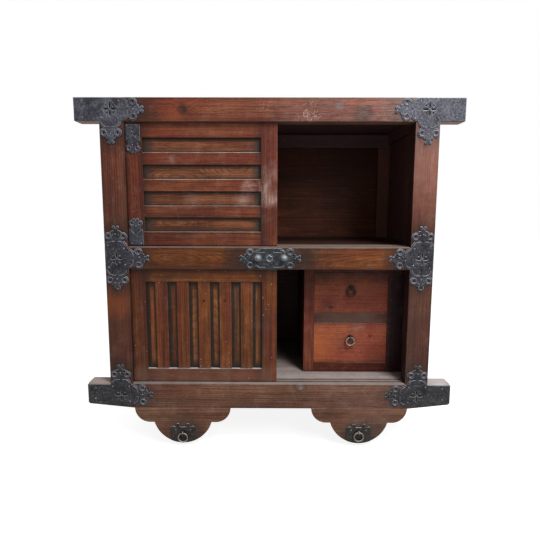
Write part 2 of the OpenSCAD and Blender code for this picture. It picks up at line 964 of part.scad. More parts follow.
// One lens-shaped petal along +X
module petal(length, width) {
    half = length / 2;
    radius = (half * half + width * width / 4) / width;
    intersection() {
        translate([half, radius - width / 2]) circle(r = radius);
        translate([half, width / 2 - radius]) circle(r = radius);
    }
}

// Pierced flower: four petals and four small holes between them
module flower() {
    for (turn = [0 : 90 : 270]) rotate(turn) {
        translate([1.5, 0]) petal(17, 5);
        rotate(45) translate([14, 0]) circle(r = 2.2);
    }
}

// Half widths of the arms and places of the flowers
corner_flower_x = post_centre + 2;
post_half = post_width / 2 - plate_lift;
corner_post_half = case_half - plate_lift - corner_flower_x;
top_half = top_beam_height / 2 - plate_lift;
middle_half = (middle_rail_height - edge_wear) / 2 - plate_lift;
bottom_half = (bottom_beam_height - edge_wear) / 2 - 4;
top_flower_z = (top_beam_z + top_z) / 2;
middle_flower_z = middle_rail_z + plate_lift + middle_half;
bottom_flower_z = lower_bay_z - edge_wear - plate_lift - bottom_half;

// Beam iron: an arm along the beam towards the middle, one along the post, and a straight
// end that is folded round the beam end
module beam_iron(z, half, leg_turn, low_end) {
    front_plate(iron_thickness) difference() {
        union() {
            translate([corner_flower_x, z]) rotate(180) arm_outline(half);
            translate([corner_flower_x, z]) rotate(leg_turn) arm_outline(corner_post_half);
            polygon([
                [corner_flower_x, z + half], [corner_flower_x, z - half], [beam_half + iron_thickness, low_end],
                [beam_half + iron_thickness, z + half]
            ]);
        }
        translate([corner_flower_x, z]) rotate(180) arm_holes(half);
        translate([corner_flower_x, z]) rotate(leg_turn) arm_holes(corner_post_half);
        translate([corner_flower_x, z]) flower();
    }
    span([beam_half, 0, low_end], [beam_half + iron_thickness, end_fold, z + half]);
}

module top_irons() {
    color("#4a4e54") at_front() both_sides()
        beam_iron(top_flower_z, top_half, -90, top_flower_z - top_half);
}

module bottom_irons() {
    low = bottom_beam_z + beam_end_rise + 3.5;
    color("#4a4e54") at_front() both_sides()
        beam_iron(bottom_flower_z, bottom_half, 90, low);
}

module middle_irons() {
    color("#4a4e54") at_front() both_sides() front_plate(iron_thickness)
        translate([post_centre, middle_flower_z]) difference() {
            union() {
                rotate(180) arm_outline(middle_half);
                rotate(90) arm_outline(post_half);
                rotate(-90) arm_outline(post_half, true);
                translate([0, -middle_half]) square([post_half, 2 * middle_half]);
            }
            rotate(180) arm_holes(middle_half);
            rotate(90) arm_holes(post_half);
            rotate(-90) arm_holes(post_half, true);
            flower();
        }
}

// The middle plate, its two knobs and its boss, each a little off the middle of the rail
plate_x = 3;
knobs_x = 4.6;
boss_x = 0.8;
boss_diameter = 20;

// Rounded slot along X
module plate_slot() {
    length = centre_half * 0.2;
    width = iron_thickness * 1.75;
    square([length, width], center = true);
    translate([length / 2, 0]) circle(d = width);
    translate([-length / 2, 0]) circle(d = width);
}

// Long plate on the middle rail
module centre_plate() {
    stretch = centre_half - arm_length;
    slot_x = centre_half * 0.26;
    color("#5a6066") at_front() front_plate(iron_thickness) translate([0, middle_flower_z]) difference() {
        union() for (turn = [0, 180])
            translate([plate_x, 0]) rotate(turn) translate([stretch, 0]) arm_outline(middle_half);
        for (turn = [0, 180])
            translate([plate_x, 0]) rotate(turn) translate([stretch, 0]) arm_holes(middle_half);
        for (sx = [-1, 1]) for (sy = [-1, 1])
            translate([boss_x + sx * slot_x, sy * middle_half * 0.7]) plate_slot();
    }
}

module dome(x, z) {
    radius = (knob_diameter * knob_diameter / 4 + knob_height * knob_height) / (2 * knob_height);
    base_y = -iron_thickness;
    translate([x, 0, z]) intersection() {
        translate([0, base_y - knob_height + radius, 0]) sphere(r = radius);
        span([-knob_diameter, base_y - 2 * knob_height, -knob_diameter],
            [knob_diameter, base_y, knob_diameter]);
    }
}

module centre_knobs() {
    color("#7c848a") at_front() {
        for (side = [-1, 1]) dome(knobs_x + side * knob_spacing / 2, middle_flower_z);
        translate([boss_x, -iron_thickness, middle_flower_z]) rotate([90, 0, 0]) difference() {
            cylinder(h = 3, d = boss_diameter);
            translate([0, 0, 1]) cylinder(h = 3, d = boss_diameter * 0.6);
        }
    }
}

// Stile irons of the upper front door

stile_iron_half = upper_stile / 2 - 2.5;
stile_eye = stile_iron_half * 0.48;

// Outline of a stile iron that stands on Y = 0 and ends in two scrolls and a small crown
module stile_iron_outline(length) {
    crown = stile_eye * 0.43;
    translate([-stile_iron_half, 0]) square([2 * stile_iron_half, length - 3.3 * stile_eye]);
    translate([-stile_eye * 1.43, 0]) square([stile_eye * 2.86, length - 1.5 * stile_eye]);
    translate([-stile_eye * 0.82, 0]) square([stile_eye * 1.64, length - crown * 1.5]);
    for (side = [-1, 1]) {
        translate([side * (stile_iron_half - stile_eye), length - 1.5 * stile_eye]) circle(r = stile_eye);
        translate([side * crown * 1.1, length - crown]) circle(r = crown);
    }
}

module stile_iron_eyes(length) {
    for (side = [-1, 1])
        translate([side * (stile_iron_half - stile_eye), length - 1.5 * stile_eye]) circle(r = stile_eye * 0.27);
}

// Lengths of the upper and the lower stile iron, and the upper one's distance below the beam
stile_iron_length = [80, 77];
upper_iron_drop = 6;

module upper_door_irons() {
    x = door_left + stile_iron_half + 0.5;
    color("#4a4e54") at_front() {
        translate([x, 0, top_beam_z - upper_iron_drop]) front_plate(iron_thickness, door_y[0]) rotate(180)
            difference() {
                stile_iron_outline(stile_iron_length[0]);
                stile_iron_eyes(stile_iron_length[0]);
                translate([0, stile_iron_length[0] * 0.21]) circle(r = stile_eye * 0.29);
            }
        translate([x, 0, upper_bay_z + door_play + 1]) front_plate(iron_thickness, door_y[0]) difference() {
            stile_iron_outline(stile_iron_length[1]);
            stile_iron_eyes(stile_iron_length[1]);
        }
    }
}

// Ring plates on the bracket lobes: half width, radii of the bumps on the upper edge, and
// heights of their middles above the lobe's lowest point
ring_plate_half = 0.41 * lobe_radius;
outer_bump = 0.215 * ring_plate_half;
inner_bump = 0.17 * ring_plate_half;
inner_bump_x = 0.41 * ring_plate_half;
outer_bump_rise = 0.52 * lobe_radius;
inner_bump_rise = 0.635 * lobe_radius;

module bracket_plate_outline() {
    intersection() {
        translate([0, lobe_z]) circle(r = lobe_radius - plate_lift);
        translate([0, bracket_z]) {
            translate([-ring_plate_half, 0]) square([2 * ring_plate_half, outer_bump_rise]);
            translate([outer_bump - ring_plate_half, 0])
                square([2 * (ring_plate_half - outer_bump), outer_bump_rise + outer_bump * 0.75]);
            for (side = [-1, 1]) {
                translate([side * (ring_plate_half - outer_bump), outer_bump_rise]) circle(r = outer_bump);
                translate([side * inner_bump_x, inner_bump_rise]) circle(r = inner_bump);
            }
        }
    }
}

module bracket_plates() {
    color("#4a4e54") at_front() for (side = [0, 1]) difference() {
        translate([bracket_x[side], 0, 0]) front_plate(iron_thickness) bracket_plate_outline();
        rod_y(bracket_x[side], ring_z[side], staple_wire / 2, -2 * iron_thickness, cut);
    }
}

module bracket_staples() {
    color("#565b60") at_front() for (side = [0, 1])
        staple(bracket_x[side], 0, ring_z[side], staple_hole[0], iron_thickness);
}

module bracket_pull(side) {
    color("#8b8478") at_front()
        hanging_ring(bracket_x[side], -eye_reach(staple_hole[0], iron_thickness), ring_z[side],
            bracket_ring, bracket_wire);
}

module left_bracket_ring() {
    bracket_pull(0);
}

module right_bracket_ring() {
    bracket_pull(1);
}

top_front_beam();
middle_front_rail();
bottom_front_beam();
left_front_post();
right_front_post();
top_rear_beam();
middle_rear_rail();
bottom_rear_beam();
left_rear_post();
right_rear_post();
left_side_rails();
right_side_rails();
left_side_panels();
right_side_panels();
back_boards();
top_boards();
shelf_boards();
floor_boards();
ceiling_cleat();
front_brackets();
rear_brackets();
wheel_axles();
axle_collars();
axle_pins();
left_front_wheel();
right_front_wheel();
left_rear_wheel();
right_rear_wheel();
unit_stiles();
unit_rails();
unit_left_side();
unit_top_board();
drawer_runners();
upper_drawer_front();
upper_drawer_box();
upper_drawer_staple();
upper_drawer_ring();
lower_drawer_front();
lower_drawer_box();
lower_drawer_staple();
lower_drawer_ring();
upper_front_door_lattice();
upper_front_door_panel();
upper_rear_door_lattice();
upper_rear_door_panel();
lower_front_door_lattice();
lower_front_door_panel();
lower_rear_door_lattice();
lower_rear_door_panel();
upper_door_irons();
top_irons();
middle_irons();
bottom_irons();
centre_plate();
centre_knobs();
bracket_plates();
bracket_staples();
left_bracket_ring();
right_bracket_ring();
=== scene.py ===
"""Looks of a wheeled merchant chest: stained woods, wrought irons, nails and soft studio light.

Sizes are in millimetres and become metres by MM where they reach Blender. Places of marks on the
wood are in metres, as in the frame. The main planes come from the frame's own nodes, so what lies
on a face stays on it.
"""

import math

import bmesh
import bpy
from mathutils import Matrix, Vector


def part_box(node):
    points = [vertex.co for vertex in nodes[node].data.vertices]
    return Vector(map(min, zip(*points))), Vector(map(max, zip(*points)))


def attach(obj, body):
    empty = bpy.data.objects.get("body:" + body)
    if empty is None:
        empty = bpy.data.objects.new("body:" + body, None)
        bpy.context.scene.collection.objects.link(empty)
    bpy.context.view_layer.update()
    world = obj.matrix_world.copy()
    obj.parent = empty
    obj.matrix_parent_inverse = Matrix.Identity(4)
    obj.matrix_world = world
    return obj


MM = 0.001

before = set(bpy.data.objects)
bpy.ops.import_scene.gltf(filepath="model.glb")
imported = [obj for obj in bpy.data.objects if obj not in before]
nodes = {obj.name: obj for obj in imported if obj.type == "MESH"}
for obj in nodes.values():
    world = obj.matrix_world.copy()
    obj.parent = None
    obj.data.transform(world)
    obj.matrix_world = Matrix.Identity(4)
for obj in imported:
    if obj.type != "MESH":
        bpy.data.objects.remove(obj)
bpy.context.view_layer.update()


def srgb(red, green, blue):
    """Linear colour of a colour given as 0 to 255."""

    def linear(value):
        value = value / 255.0
        return value / 12.92 if value <= 0.04045 else ((value + 0.055) / 1.055) ** 2.4

    return (linear(red), linear(green), linear(blue), 1.0)


def low(node):
    return Vector(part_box(node)[0])


def high(node):
    return Vector(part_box(node)[1])


def middle(node):
    return (low(node) + high(node)) / 2


# Main planes of the chest, in metres
FACE_Y = low("top_front_beam").y
IRON_Y = low("centre_plate").y
DOOR_IRON_Y = low("upper_door_irons").y
DOOR_Y = low("upper_front_door_lattice").y
UNIT_Y = low("unit_rails").y
BACK_Y = low("back_boards").y
SHELF_FRONT_Y = low("shelf_boards").y
UPPER_BAY_Z = high("middle_front_rail").z
LOWER_BAY_Z = high("bottom_front_beam").z
LOWER_BAY_TOP_Z = low("middle_front_rail").z

# Middles of the irons' pierced flowers, in metres
TOP_FLOWER_Z = middle("top_front_beam").z
MIDDLE_FLOWER_Z = middle("centre_plate").z
BOTTOM_FLOWER_Z = 0.16025
CORNER_FLOWER_X = 0.434
MIDDLE_FLOWER_X = 0.432

# Ways that a face can look
TO_FRONT = (0.0, -1.0, 0.0)
DOWN = (0.0, 0.0, -1.0)
TO_LEFT = (-1.0, 0.0, 0.0)
TO_RIGHT = (1.0, 0.0, 0.0)
SIDES = (-1, 1)


# Node trees


class Tree:
    """The nodes of a material or a world, with short calls for those that are used here."""

    def __init__(self, owner):
        owner.use_nodes = True
        self.owner = owner
        self.links = owner.node_tree.links
        self.nodes = owner.node_tree.nodes
        self.nodes.clear()

    def add(self, kind, inputs=None, **settings):
        """Adds a node, sets its properties and fills its inputs with values or sockets."""
        made = self.nodes.new(kind)
        for name, value in settings.items():
            setattr(made, name, value)
        for name, value in (inputs or {}).items():
            if isinstance(value, bpy.types.NodeSocket):
                self.links.new(value, made.inputs[name])
            else:
                made.inputs[name].default_value = value
        return made

    def math(self, operation, first, second=0.0):
        return self.add("ShaderNodeMath", {0: first, 1: second}, operation=operation).outputs[0]

    def times(self, first, second):
        return self.math("MULTIPLY", first, second)

    def plus(self, first, second):
        return self.math("ADD", first, second)

    def minus(self, first, second):
        return self.math("SUBTRACT", first, second)

    def most(self, first, second):
        return self.math("MAXIMUM", first, second)

    def vector(self, operation, first, second=(0.0, 0.0, 0.0)):
        made = self.add("ShaderNodeVectorMath", {0: first, 1: second}, operation=operation)
        return made.outputs["Value"] if operation in ("LENGTH", "DOT_PRODUCT") else made.outputs[0]

    def scale(self, vector, factor):
        made = self.add("ShaderNodeVectorMath", {0: vector, "Scale": factor}, operation="SCALE")
        return made.outputs[0]

    def split(self, vector):
        return self.add("ShaderNodeSeparateXYZ", {"Vector": vector}).outputs

    def mix(self, factor, first, second):
        made = self.add("ShaderNodeMix", {0: factor, 6: first, 7: second}, data_type="RGBA")
        return made.outputs[2]

    def lay(self, factor, shade):
        """Lays a shade over the colour so far."""
        self.colour = self.mix(factor, self.colour, shade)

    def dim(self, factor):
        self.colour = self.scale(self.colour, factor)

    def spread(self, value, start, end, to_start=0.0, to_end=1.0):
        """Turns the values from start to end into those from to_start to to_end."""
        inputs = {"Value": value, "From Min": start, "From Max": end, "To Min": to_start, "To Max": to_end}
        return self.add("ShaderNodeMapRange", inputs).outputs["Result"]

    def shown(self):
        """1 for the rays that show the background: the camera's, and those in metal and glass."""
        rays = self.add("ShaderNodeLightPath").outputs
        seen = self.most(rays["Is Camera Ray"], rays["Is Glossy Ray"])
        return self.most(seen, rays["Is Transmission Ray"])


class Finish(Tree):
    """A new material that follows the solid's own coordinates."""

    def __init__(self, name):
        super().__init__(bpy.data.materials.new(name))
        self.coords = self.add("ShaderNodeTexCoord").outputs["Object"]
        self.normal = self.add("ShaderNodeNewGeometry").outputs["Normal"]

    def noise(self, vector, scale, detail=3.0, rough=0.5, output="Fac"):
        """Noise values from about 0.25 to 0.75; a tuple as scale stretches it."""
        if isinstance(scale, tuple):
            vector = self.vector("MULTIPLY", vector, scale)
            scale = 1.0
        inputs = {"Vector": vector, "Scale": scale, "Detail": detail, "Roughness": rough}
        return self.add("ShaderNodeTexNoise", inputs).outputs[output]

    def drift(self, vector, scale, detail):
        """Noise as a vector round zero."""
        return self.vector("SUBTRACT", self.noise(vector, scale, detail, output="Color"), (0.5, 0.5, 0.5))

    def ramp(self, factor, stops):
        made = self.add("ShaderNodeValToRGB", {"Fac": factor})
        elements = made.color_ramp.elements
        while len(elements) < len(stops):
            elements.new(0.5)
        for element, (place, grey) in zip(elements, stops):
            element.position = place
            element.color = (grey, grey, grey, 1.0)
        return made.outputs["Color"]

    def near(self, place, centre, radius, stretch=(1.0, 1.0, 1.0), core=0.55):
        """1 in the core of a ball round a place, falling to 0 at its radius."""
        away = self.vector("MULTIPLY", self.vector("SUBTRACT", place, centre), stretch)
        return self.spread(self.vector("LENGTH", away), radius * core, radius, 1.0, 0.0)

    def swell(self, place, centre, half_length, half_height):
        """1 at a place, falling evenly to 0 at the edge of a long oval with pointed ends."""
        along, across, depth = self.split(self.vector("SUBTRACT", place, centre))
        along = self.math("DIVIDE", along, half_length)
        along = self.math("SQRT", self.plus(self.times(along, along), 0.03))
        across = self.math("DIVIDE", across, half_height)
        return self.spread(self.plus(along, self.times(across, across)), 0.17, 1.0, 1.0, 0.0)

    def rounding(self, radius):
        """The normal of a softly rounded edge, and how far it turns up and away from the face."""
        rounded = self.add("ShaderNodeBevel", {"Radius": radius * MM}, samples=6).outputs["Normal"]
        turn = self.split(self.vector("SUBTRACT", rounded, self.normal))["Z"]
        away = self.minus(1.0, self.vector("DOT_PRODUCT", rounded, self.normal))
        return rounded, turn, away

    def upward(self):
        """How far a surface faces up, from 0 to 1."""
        return self.spread(self.split(self.normal)["Z"], 0.35, 0.9)

    def grime_and_shade(self, distance):
        """How deep a place lies in a corner, from 0 to 1, where dirt and painted shade are laid."""
        made = self.add("ShaderNodeAmbientOcclusion", {"Distance": distance * MM}, samples=8)
        return self.spread(made.outputs["AO"], 0.96, 0.55)

    def bump(self, height, strength, distance, normal):
        inputs = {"Height": height, "Strength": strength, "Distance": distance * MM, "Normal": normal}
        return self.add("ShaderNodeBump", inputs).outputs["Normal"]

    def surface(self, inputs):
        """Ends the tree in a shader with these inputs and returns the material."""
        shader = self.add("ShaderNodeBsdfPrincipled", inputs)
        self.add("ShaderNodeOutputMaterial", {"Surface": shader.outputs["BSDF"]})
        return self.owner


# Woods


def stain(dark, mid, light, warm):
    """The tones of a stain: dark for the rings, mid and light for the wood, warm for its blushes."""
    return {"dark": srgb(*dark), "mid": srgb(*mid), "light": srgb(*light), "warm": srgb(*warm)}


FRAME_STAIN = stain((46, 20, 14), (108, 54, 40), (146, 84, 58), (132, 62, 46))
RAIL_STAIN = stain((50, 26, 13), (106, 56, 30), (156, 90, 42), (132, 64, 34))
SILL_STAIN = stain((48, 29, 22), (106, 70, 54), (136, 94, 70), (116, 70, 52))
POST_STAIN = stain((46, 21, 15), (98, 54, 40), (134, 80, 56), (118, 56, 38))
DOOR_STAIN = stain((48, 18, 11), (112, 56, 38), (150, 86, 54), (134, 60, 42))
LOWER_DOOR_STAIN = stain((42, 20, 13), (98, 56, 36), (150, 86, 40), (122, 56, 36))
DRAWER_STAIN = stain((84, 34, 22), (142, 72, 50), (176, 98, 64), (160, 72, 52))
PANEL_STAIN = stain((50, 24, 14), (112, 64, 40), (156, 98, 60), (140, 70, 42))
INNER_STAIN = stain((40, 18, 12), (90, 46, 34), (128, 74, 50), (102, 50, 36))
BARE_WOOD = stain((90, 60, 42), (146, 108, 76), (178, 140, 102), (156, 108, 74))
WHEEL_STAIN = stain((34, 18, 12), (80, 46, 33), (108, 68, 49), (88, 46, 32))

DUST = srgb(150, 132, 122)
PALE_DUST = srgb(180, 172, 168)
# Pale colour of the painted sheen, a painted reflection on the lacquer
PAINTED_SHEEN = srgb(190, 160, 150)
SCRATCH = srgb(216, 202, 192)
# Pale upper edges: wear with a painted highlight
RUBBED_AND_LIT = srgb(196, 176, 164)
RUBBED_AND_LIT_DOOR = srgb(204, 194, 188)
SOFT_EDGE = srgb(150, 112, 94)
# Painted shade under the lower edges
UNDERSIDE_SHADE = srgb(14, 8, 7)
# Dark tone for dirt, joints and knots, and for painted shade and painted shadows
SOOT_AND_SHADE = srgb(24, 13, 10)
# Painted grey light on the faces that look into the chest
PAINTED_INNER_LIGHT = srgb(128, 104, 108)
MOSS = srgb(42, 38, 28)
IRON_STAIN = srgb(64, 50, 46)
RUST_DARK = srgb(40, 30, 26)
# Painted shade seen through the piercings and slots of the irons
HOLE_SHADE = srgb(12, 8, 8)


class Wood(Finish):
    """Ring-porous wood; the values below can be chosen for each node."""

    letters = "XZY"  # axes along the grain, across it on the face and into the wood
    pith = (120, 60)  # how far the middle of the tree was across and into the wood
    rings = 180  # year rings in a metre
    sway = 5.0  # how far the grain wanders
    tilt = 0.0  # how much the tree leant
    figure = 0.7  # strength of the dark rings
    contrast = 0.85  # strength of the bands and fibres
    lines = 0.0  # strength of thin pale lines along the rings
    knots = ()  # place, radius and colour
    flames = ()  # place, half length, half height and how far the rings are pushed
    cells = None  # axis, start and pitch of planks that differ
    door = None  # what door_lattice() is given, for the frame of a door
    tint = (1.0, 1.0, 1.0)
    gloss = 0.44  # roughness of the smoothest fibres
    radius = 2.4  # of the rounded edges
    edge = 0.7  # how much the edges are worn pale; the upper ones also carry a painted highlight
    border = None  # half height in metres, width and strength of the dark along the long edges
    gaps = None  # what the gap mask is given, for dirt and painted shade on a panel behind slats or bars
    gap_shade = MOSS
    corners = (9, 0.85, SOOT_AND_SHADE)  # reach, strength and colour of the dirt and painted shade in corners
    stains = ()  # marks, and painted light and shade: place, radius, colour and strength
    hazes = ()  # painted sheen: place, radius and strength
    holes = ()  # painted shade behind the piercings of the irons: place and radius
    scratched = ()  # place, radius and strength
    shaded = ()  # painted light and shade by the way that the face looks: way, colour, strength and, if only a part, place and radius
    dust = 0.12  # on every face
    top_dust = 0.5  # on faces that look up
    dust_colour = DUST
    fade = None  # painted light: where the pale top dust starts and ends to thin out along Y, and what is left of it

    def __init__(self, name, tones, centre, **choices):
        super().__init__(name)
        self.tones = tones
        self.centre = centre
        for choice, value in choices.items():
            setattr(self, choice, value)


def in_grain(t, letters):
    """The place along the grain, across it on the face, and into the wood."""
    split = t.split(t.vector("SUBTRACT", t.coords, t.centre))
    joined = {axis: split[letter] for axis, letter in zip("XYZ", letters)}
    return t.add("ShaderNodeCombineXYZ", joined).outputs[0]


def regrained(t, place):
    """The same for one known place."""
    away = Vector(place) - Vector(t.centre)
    return tuple(away["XYZ".index(letter)] for letter in ("ZXY" if t.door else t.letters))


def cell(t, letter, start, pitch):
    """Number of the plank, slat or bar that a place lies in."""
    away = t.minus(t.split(t.coords)[letter], start)
    return t.math("FLOOR", t.math("DIVIDE", away, pitch))


def door_lattice(t, node, stile, pitch_x, pitch_z, bottom_rail=0.0, top_rail=0.0):
    """1 where a door's grain is upright, the number of the piece, and 1 at the stiles' joints."""
    half = (high(node).x - low(node).x) / 2 - stile * MM
    across = t.math("ABSOLUTE", t.minus(t.split(t.coords)["X"], middle(node).x))
    upright = t.math("GREATER_THAN", across, half)
    if bottom_rail:
        height = t.split(t.coords)["Z"]
        above = t.math("GREATER_THAN", height, LOWER_BAY_Z + bottom_rail * MM)
        below = t.math("LESS_THAN", height, LOWER_BAY_TOP_Z - top_rail * MM)
        upright = t.most(upright, t.times(above, below))
    column = cell(t, "X", low(node).x + stile * MM / 2, pitch_x * MM)
    row = t.plus(cell(t, "Z", UPPER_BAY_Z, pitch_z * MM), 40.5)
    joint = t.math("ABSOLUTE", t.minus(across, half))
    return upright, t.mix(upright, row, column), t.spread(joint, 0.001, 0.026, 1.0, 0.0)


def gap_dirt_and_shade(t, letter, start, pitch, gap, first, last, other, ends, low_end, high_end):
    """1 along the edges of the gaps between slats or bars, on the panel behind them, for dirt and painted
    shade.
    """
    split = t.split(t.coords)
    inside = t.math("DIVIDE", t.minus(split[letter], start), pitch * MM)
    inside = t.times(t.math("FRACT", inside), pitch)
    dirt = t.spread(inside, first[0], first[1], 1.0, 0.0)
    dirt = t.most(dirt, t.spread(inside, gap - last[1], gap - last[0]))
    place = t.times(t.minus(split[other], ends[0]), 1.0 / MM)
    length = (ends[1] - ends[0]) / MM
    dirt = t.most(dirt, t.spread(place, low_end[0], low_end[1], 1.0, 0.0))
    return t.most(dirt, t.spread(place, length - high_end[1], length - high_end[0]))


def lay_out(t):
    """Places each piece somewhere else in the tree, and bends its grain."""
    t.base = in_grain(t, t.letters)
    number = cell(t, *t.cells) if t.cells else 0.5
    t.joints = None
    if t.door:
        upright, number, t.joints = door_lattice(t, **t.door)
        t.base = t.mix(upright, t.base, in_grain(t, "ZXY"))
    chance = t.add("ShaderNodeTexWhiteNoise", {"W": number}, noise_dimensions="1D").outputs
    t.chance = chance["Value"]
    jump = t.vector("SUBTRACT", chance["Color"], (0.5, 0.5, 0.5))
    t.place = t.vector("ADD", t.base, t.vector("MULTIPLY", jump, (7.0, 0.05, 0.03)))
    t.bent = t.place
    for scale, size in (((1.5, 4.0, 4.0), t.sway * 3.0), ((9.0, 34.0, 34.0), 1.6)):
        shift = t.drift(t.place, scale, 1.0)
        shift = t.vector("MULTIPLY", shift, (0.0, size * MM, size * MM))
        t.bent = t.vector("ADD", t.bent, shift)
    t.swayed = t.vector("ADD", t.base, t.vector("SUBTRACT", t.bent, t.place))


def grow_rings(t):
    """Lays the year rings round the pith, pushed aside by knots and flames."""
    along, across, depth = t.split(t.bent)
    across = t.minus(across, t.pith[0] * MM)
    depth = t.minus(depth, t.pith[1] * MM)
    depth = t.plus(depth, t.times(along, t.tilt))
    away = t.math("SQRT", t.plus(t.times(across, across), t.times(depth, depth)))
    t.hearts = []
    for knot, size, shade in t.knots:
        at = regrained(t, knot)
        push = t.near(t.base, at, size * 5 * MM, (0.5, 1.0, 0.4), 0.0)
        away = t.plus(away, t.times(t.math("POWER", push, 2.0), size * 2.6 * MM))
        t.hearts.append((t.near(t.swayed, at, size * MM, (0.8, 1.0, 0.3), 0.6), shade))
    t.glow = None
    for flame, half_length, half_height, rise in t.flames:
        push = t.swell(t.swayed, regrained(t, flame), half_length * MM, half_height * MM)
        away = t.plus(away, t.times(push, rise * MM))
        t.glow = push if t.glow is None else t.most(t.glow, push)
    uneven = t.noise(t.bent, (0.4, 22.0, 22.0), 1.0)
    t.year = t.math("FRACT", t.plus(t.times(away, t.rings), t.times(uneven, 3.0)))
    early = t.ramp(t.year, [(0.0, 0.75), (0.08, 1.0), (0.42, 0.12), (0.85, 0.0), (1.0, 0.75)])
    clear = t.noise(t.place, (1.6, 30.0, 30.0), 2.0)
    t.early = t.times(early, t.spread(clear, 0.35, 0.65, 0.35, 1.0))


def vary(t):
    """The uneven patterns that stain, wear and dust follow."""
    t.fibres = t.noise(t.place, (7.0, 300.0, 300.0), 4.0, 0.7)
    t.bands = t.noise(t.place, (1.3, 62.0, 62.0), 2.0, 0.6)
    t.worn = t.noise(t.coords, 26.0, 6.0, 0.7)
    t.grain = t.noise(t.coords, 210.0, 3.0, 0.7)


def stain_grain(t):
    """The stained wood with its rings, bands, fibres and pores."""
    dark, light = t.tones["dark"], t.tones["light"]
    rings = t.times(t.early, t.figure)
    patches = t.noise(t.place, (5.0, 15.0, 15.0), 3.0, 0.6)
    blush = t.split(t.noise(t.place, (2.6, 9.0, 9.0), 2.0, 0.5, "Color"))["Y"]
    t.colour = t.mix(t.spread(patches, 0.38, 0.64), t.tones["mid"], light)
    t.lay(t.spread(blush, 0.45, 0.6, 0.0, 0.85), t.tones["warm"])
    t.lay(rings, dark)
    if t.glow is not None:
        t.lay(0.3, dark)
        t.lay(t.spread(t.glow, 0.0, 0.45, 0.0, 0.8), light)
        t.lay(rings, dark)
    if t.lines:
        thin = t.ramp(t.year, [(0.0, 1.0), (0.2, 0.0), (0.8, 0.0), (1.0, 1.0)])
        paler = tuple(min(1.0, v * 1.35) for v in light)
        t.lay(t.times(thin, t.lines), paler)
    t.lay(t.spread(t.bands, 0.46, 0.64, 0.0, 0.6 * t.contrast), dark)
    t.lay(t.spread(t.fibres, 0.42, 0.66, 0.0, 0.65 * t.contrast), dark)
    t.lay(t.spread(t.fibres, 0.5, 0.32, 0.0, 0.4 * t.contrast), light)
    pores = t.noise(t.place, (60.0, 1400.0, 1400.0), 1.0, 0.6)
    pores = t.times(t.spread(pores, 0.5, 0.64), t.spread(t.early, 0.0, 0.6, 0.15, 1.0))
    t.lay(t.times(pores, 0.6), dark)
    t.dim(t.spread(t.chance, 0.0, 1.0, 0.82, 1.16))
    t.colour = t.vector("MULTIPLY", t.colour, t.tint)
    t.dim(t.spread(t.grain, 0.32, 0.68, 0.8, 1.2))
    t.dim(t.spread(t.worn, 0.32, 0.68, 0.82, 1.18))


def draw_knots(t):
    """Dark hearts with rings round them."""
    for heart, shade in t.hearts:
        ringed = t.times(t.math("SINE", t.times(heart, 14.0)), 0.25)
        ringed = t.plus(t.spread(heart, 0.0, 0.6, 0.0, 0.85), t.times(ringed, heart))
        ringed = t.times(ringed, t.spread(t.grain, 0.35, 0.6, 1.0, 0.75))
        t.lay(ringed, shade)


def rub_and_light_edges(t, turn, corner):
    """Wears the edges pale, the upper ones most with a painted highlight, and paints shade under the lower
    edges.
    """
    least, around, shade = (0.45, 0.6, RUBBED_AND_LIT_DOOR) if t.door else (0.25, 0.35, RUBBED_AND_LIT)
    wear = t.spread(t.worn, 0.38, 0.58, least, 1.0)
    t.lay(t.times(t.spread(turn, 0.03, 0.3), t.times(wear, t.edge)), shade)
    t.lay(t.times(t.spread(corner, 0.02, 0.25), t.times(wear, t.edge * around)), SOFT_EDGE)
    # Painted shade under the lower edges
    t.lay(t.spread(turn, -0.03, -0.35, 0.0, 0.8), UNDERSIDE_SHADE)


def soil(t):
    """Dirt in joints, a dark band along long edges, dirt and painted shade behind gaps and in corners, and
    smudges.
    """
    if t.joints is not None:
        t.lay(t.times(t.joints, t.spread(t.worn, 0.35, 0.6, 0.35, 0.75)), SOOT_AND_SHADE)
    if t.border:
        half, width, strength = t.border
        rim = t.math("ABSOLUTE", t.split(t.base)["Y"])
        rim = t.plus(rim, t.times(t.worn, 0.006))
        t.lay(t.spread(rim, half - width * MM, half + 0.004, 0.0, strength), SOOT_AND_SHADE)
    # Dirt and painted shade along the edges of the gaps, where the slats and bars cast shadow
    if t.gaps:
        t.lay(t.times(gap_dirt_and_shade(t, **t.gaps), t.spread(t.worn, 0.35, 0.55, 0.75, 1.0)), t.gap_shade)
    smoke = t.spread(t.noise(t.coords, 11.0, 4.0, 0.6), 0.45, 0.75, 0.0, 0.35)
    t.lay(smoke, t.mix(0.5, t.tones["dark"], IRON_STAIN))
    # Dirt and painted shade in the corners
    reach, strength, shade = t.corners
    t.lay(t.times(t.grime_and_shade(reach), t.spread(t.worn, 0.35, 0.65, strength * 0.75, strength)), shade)


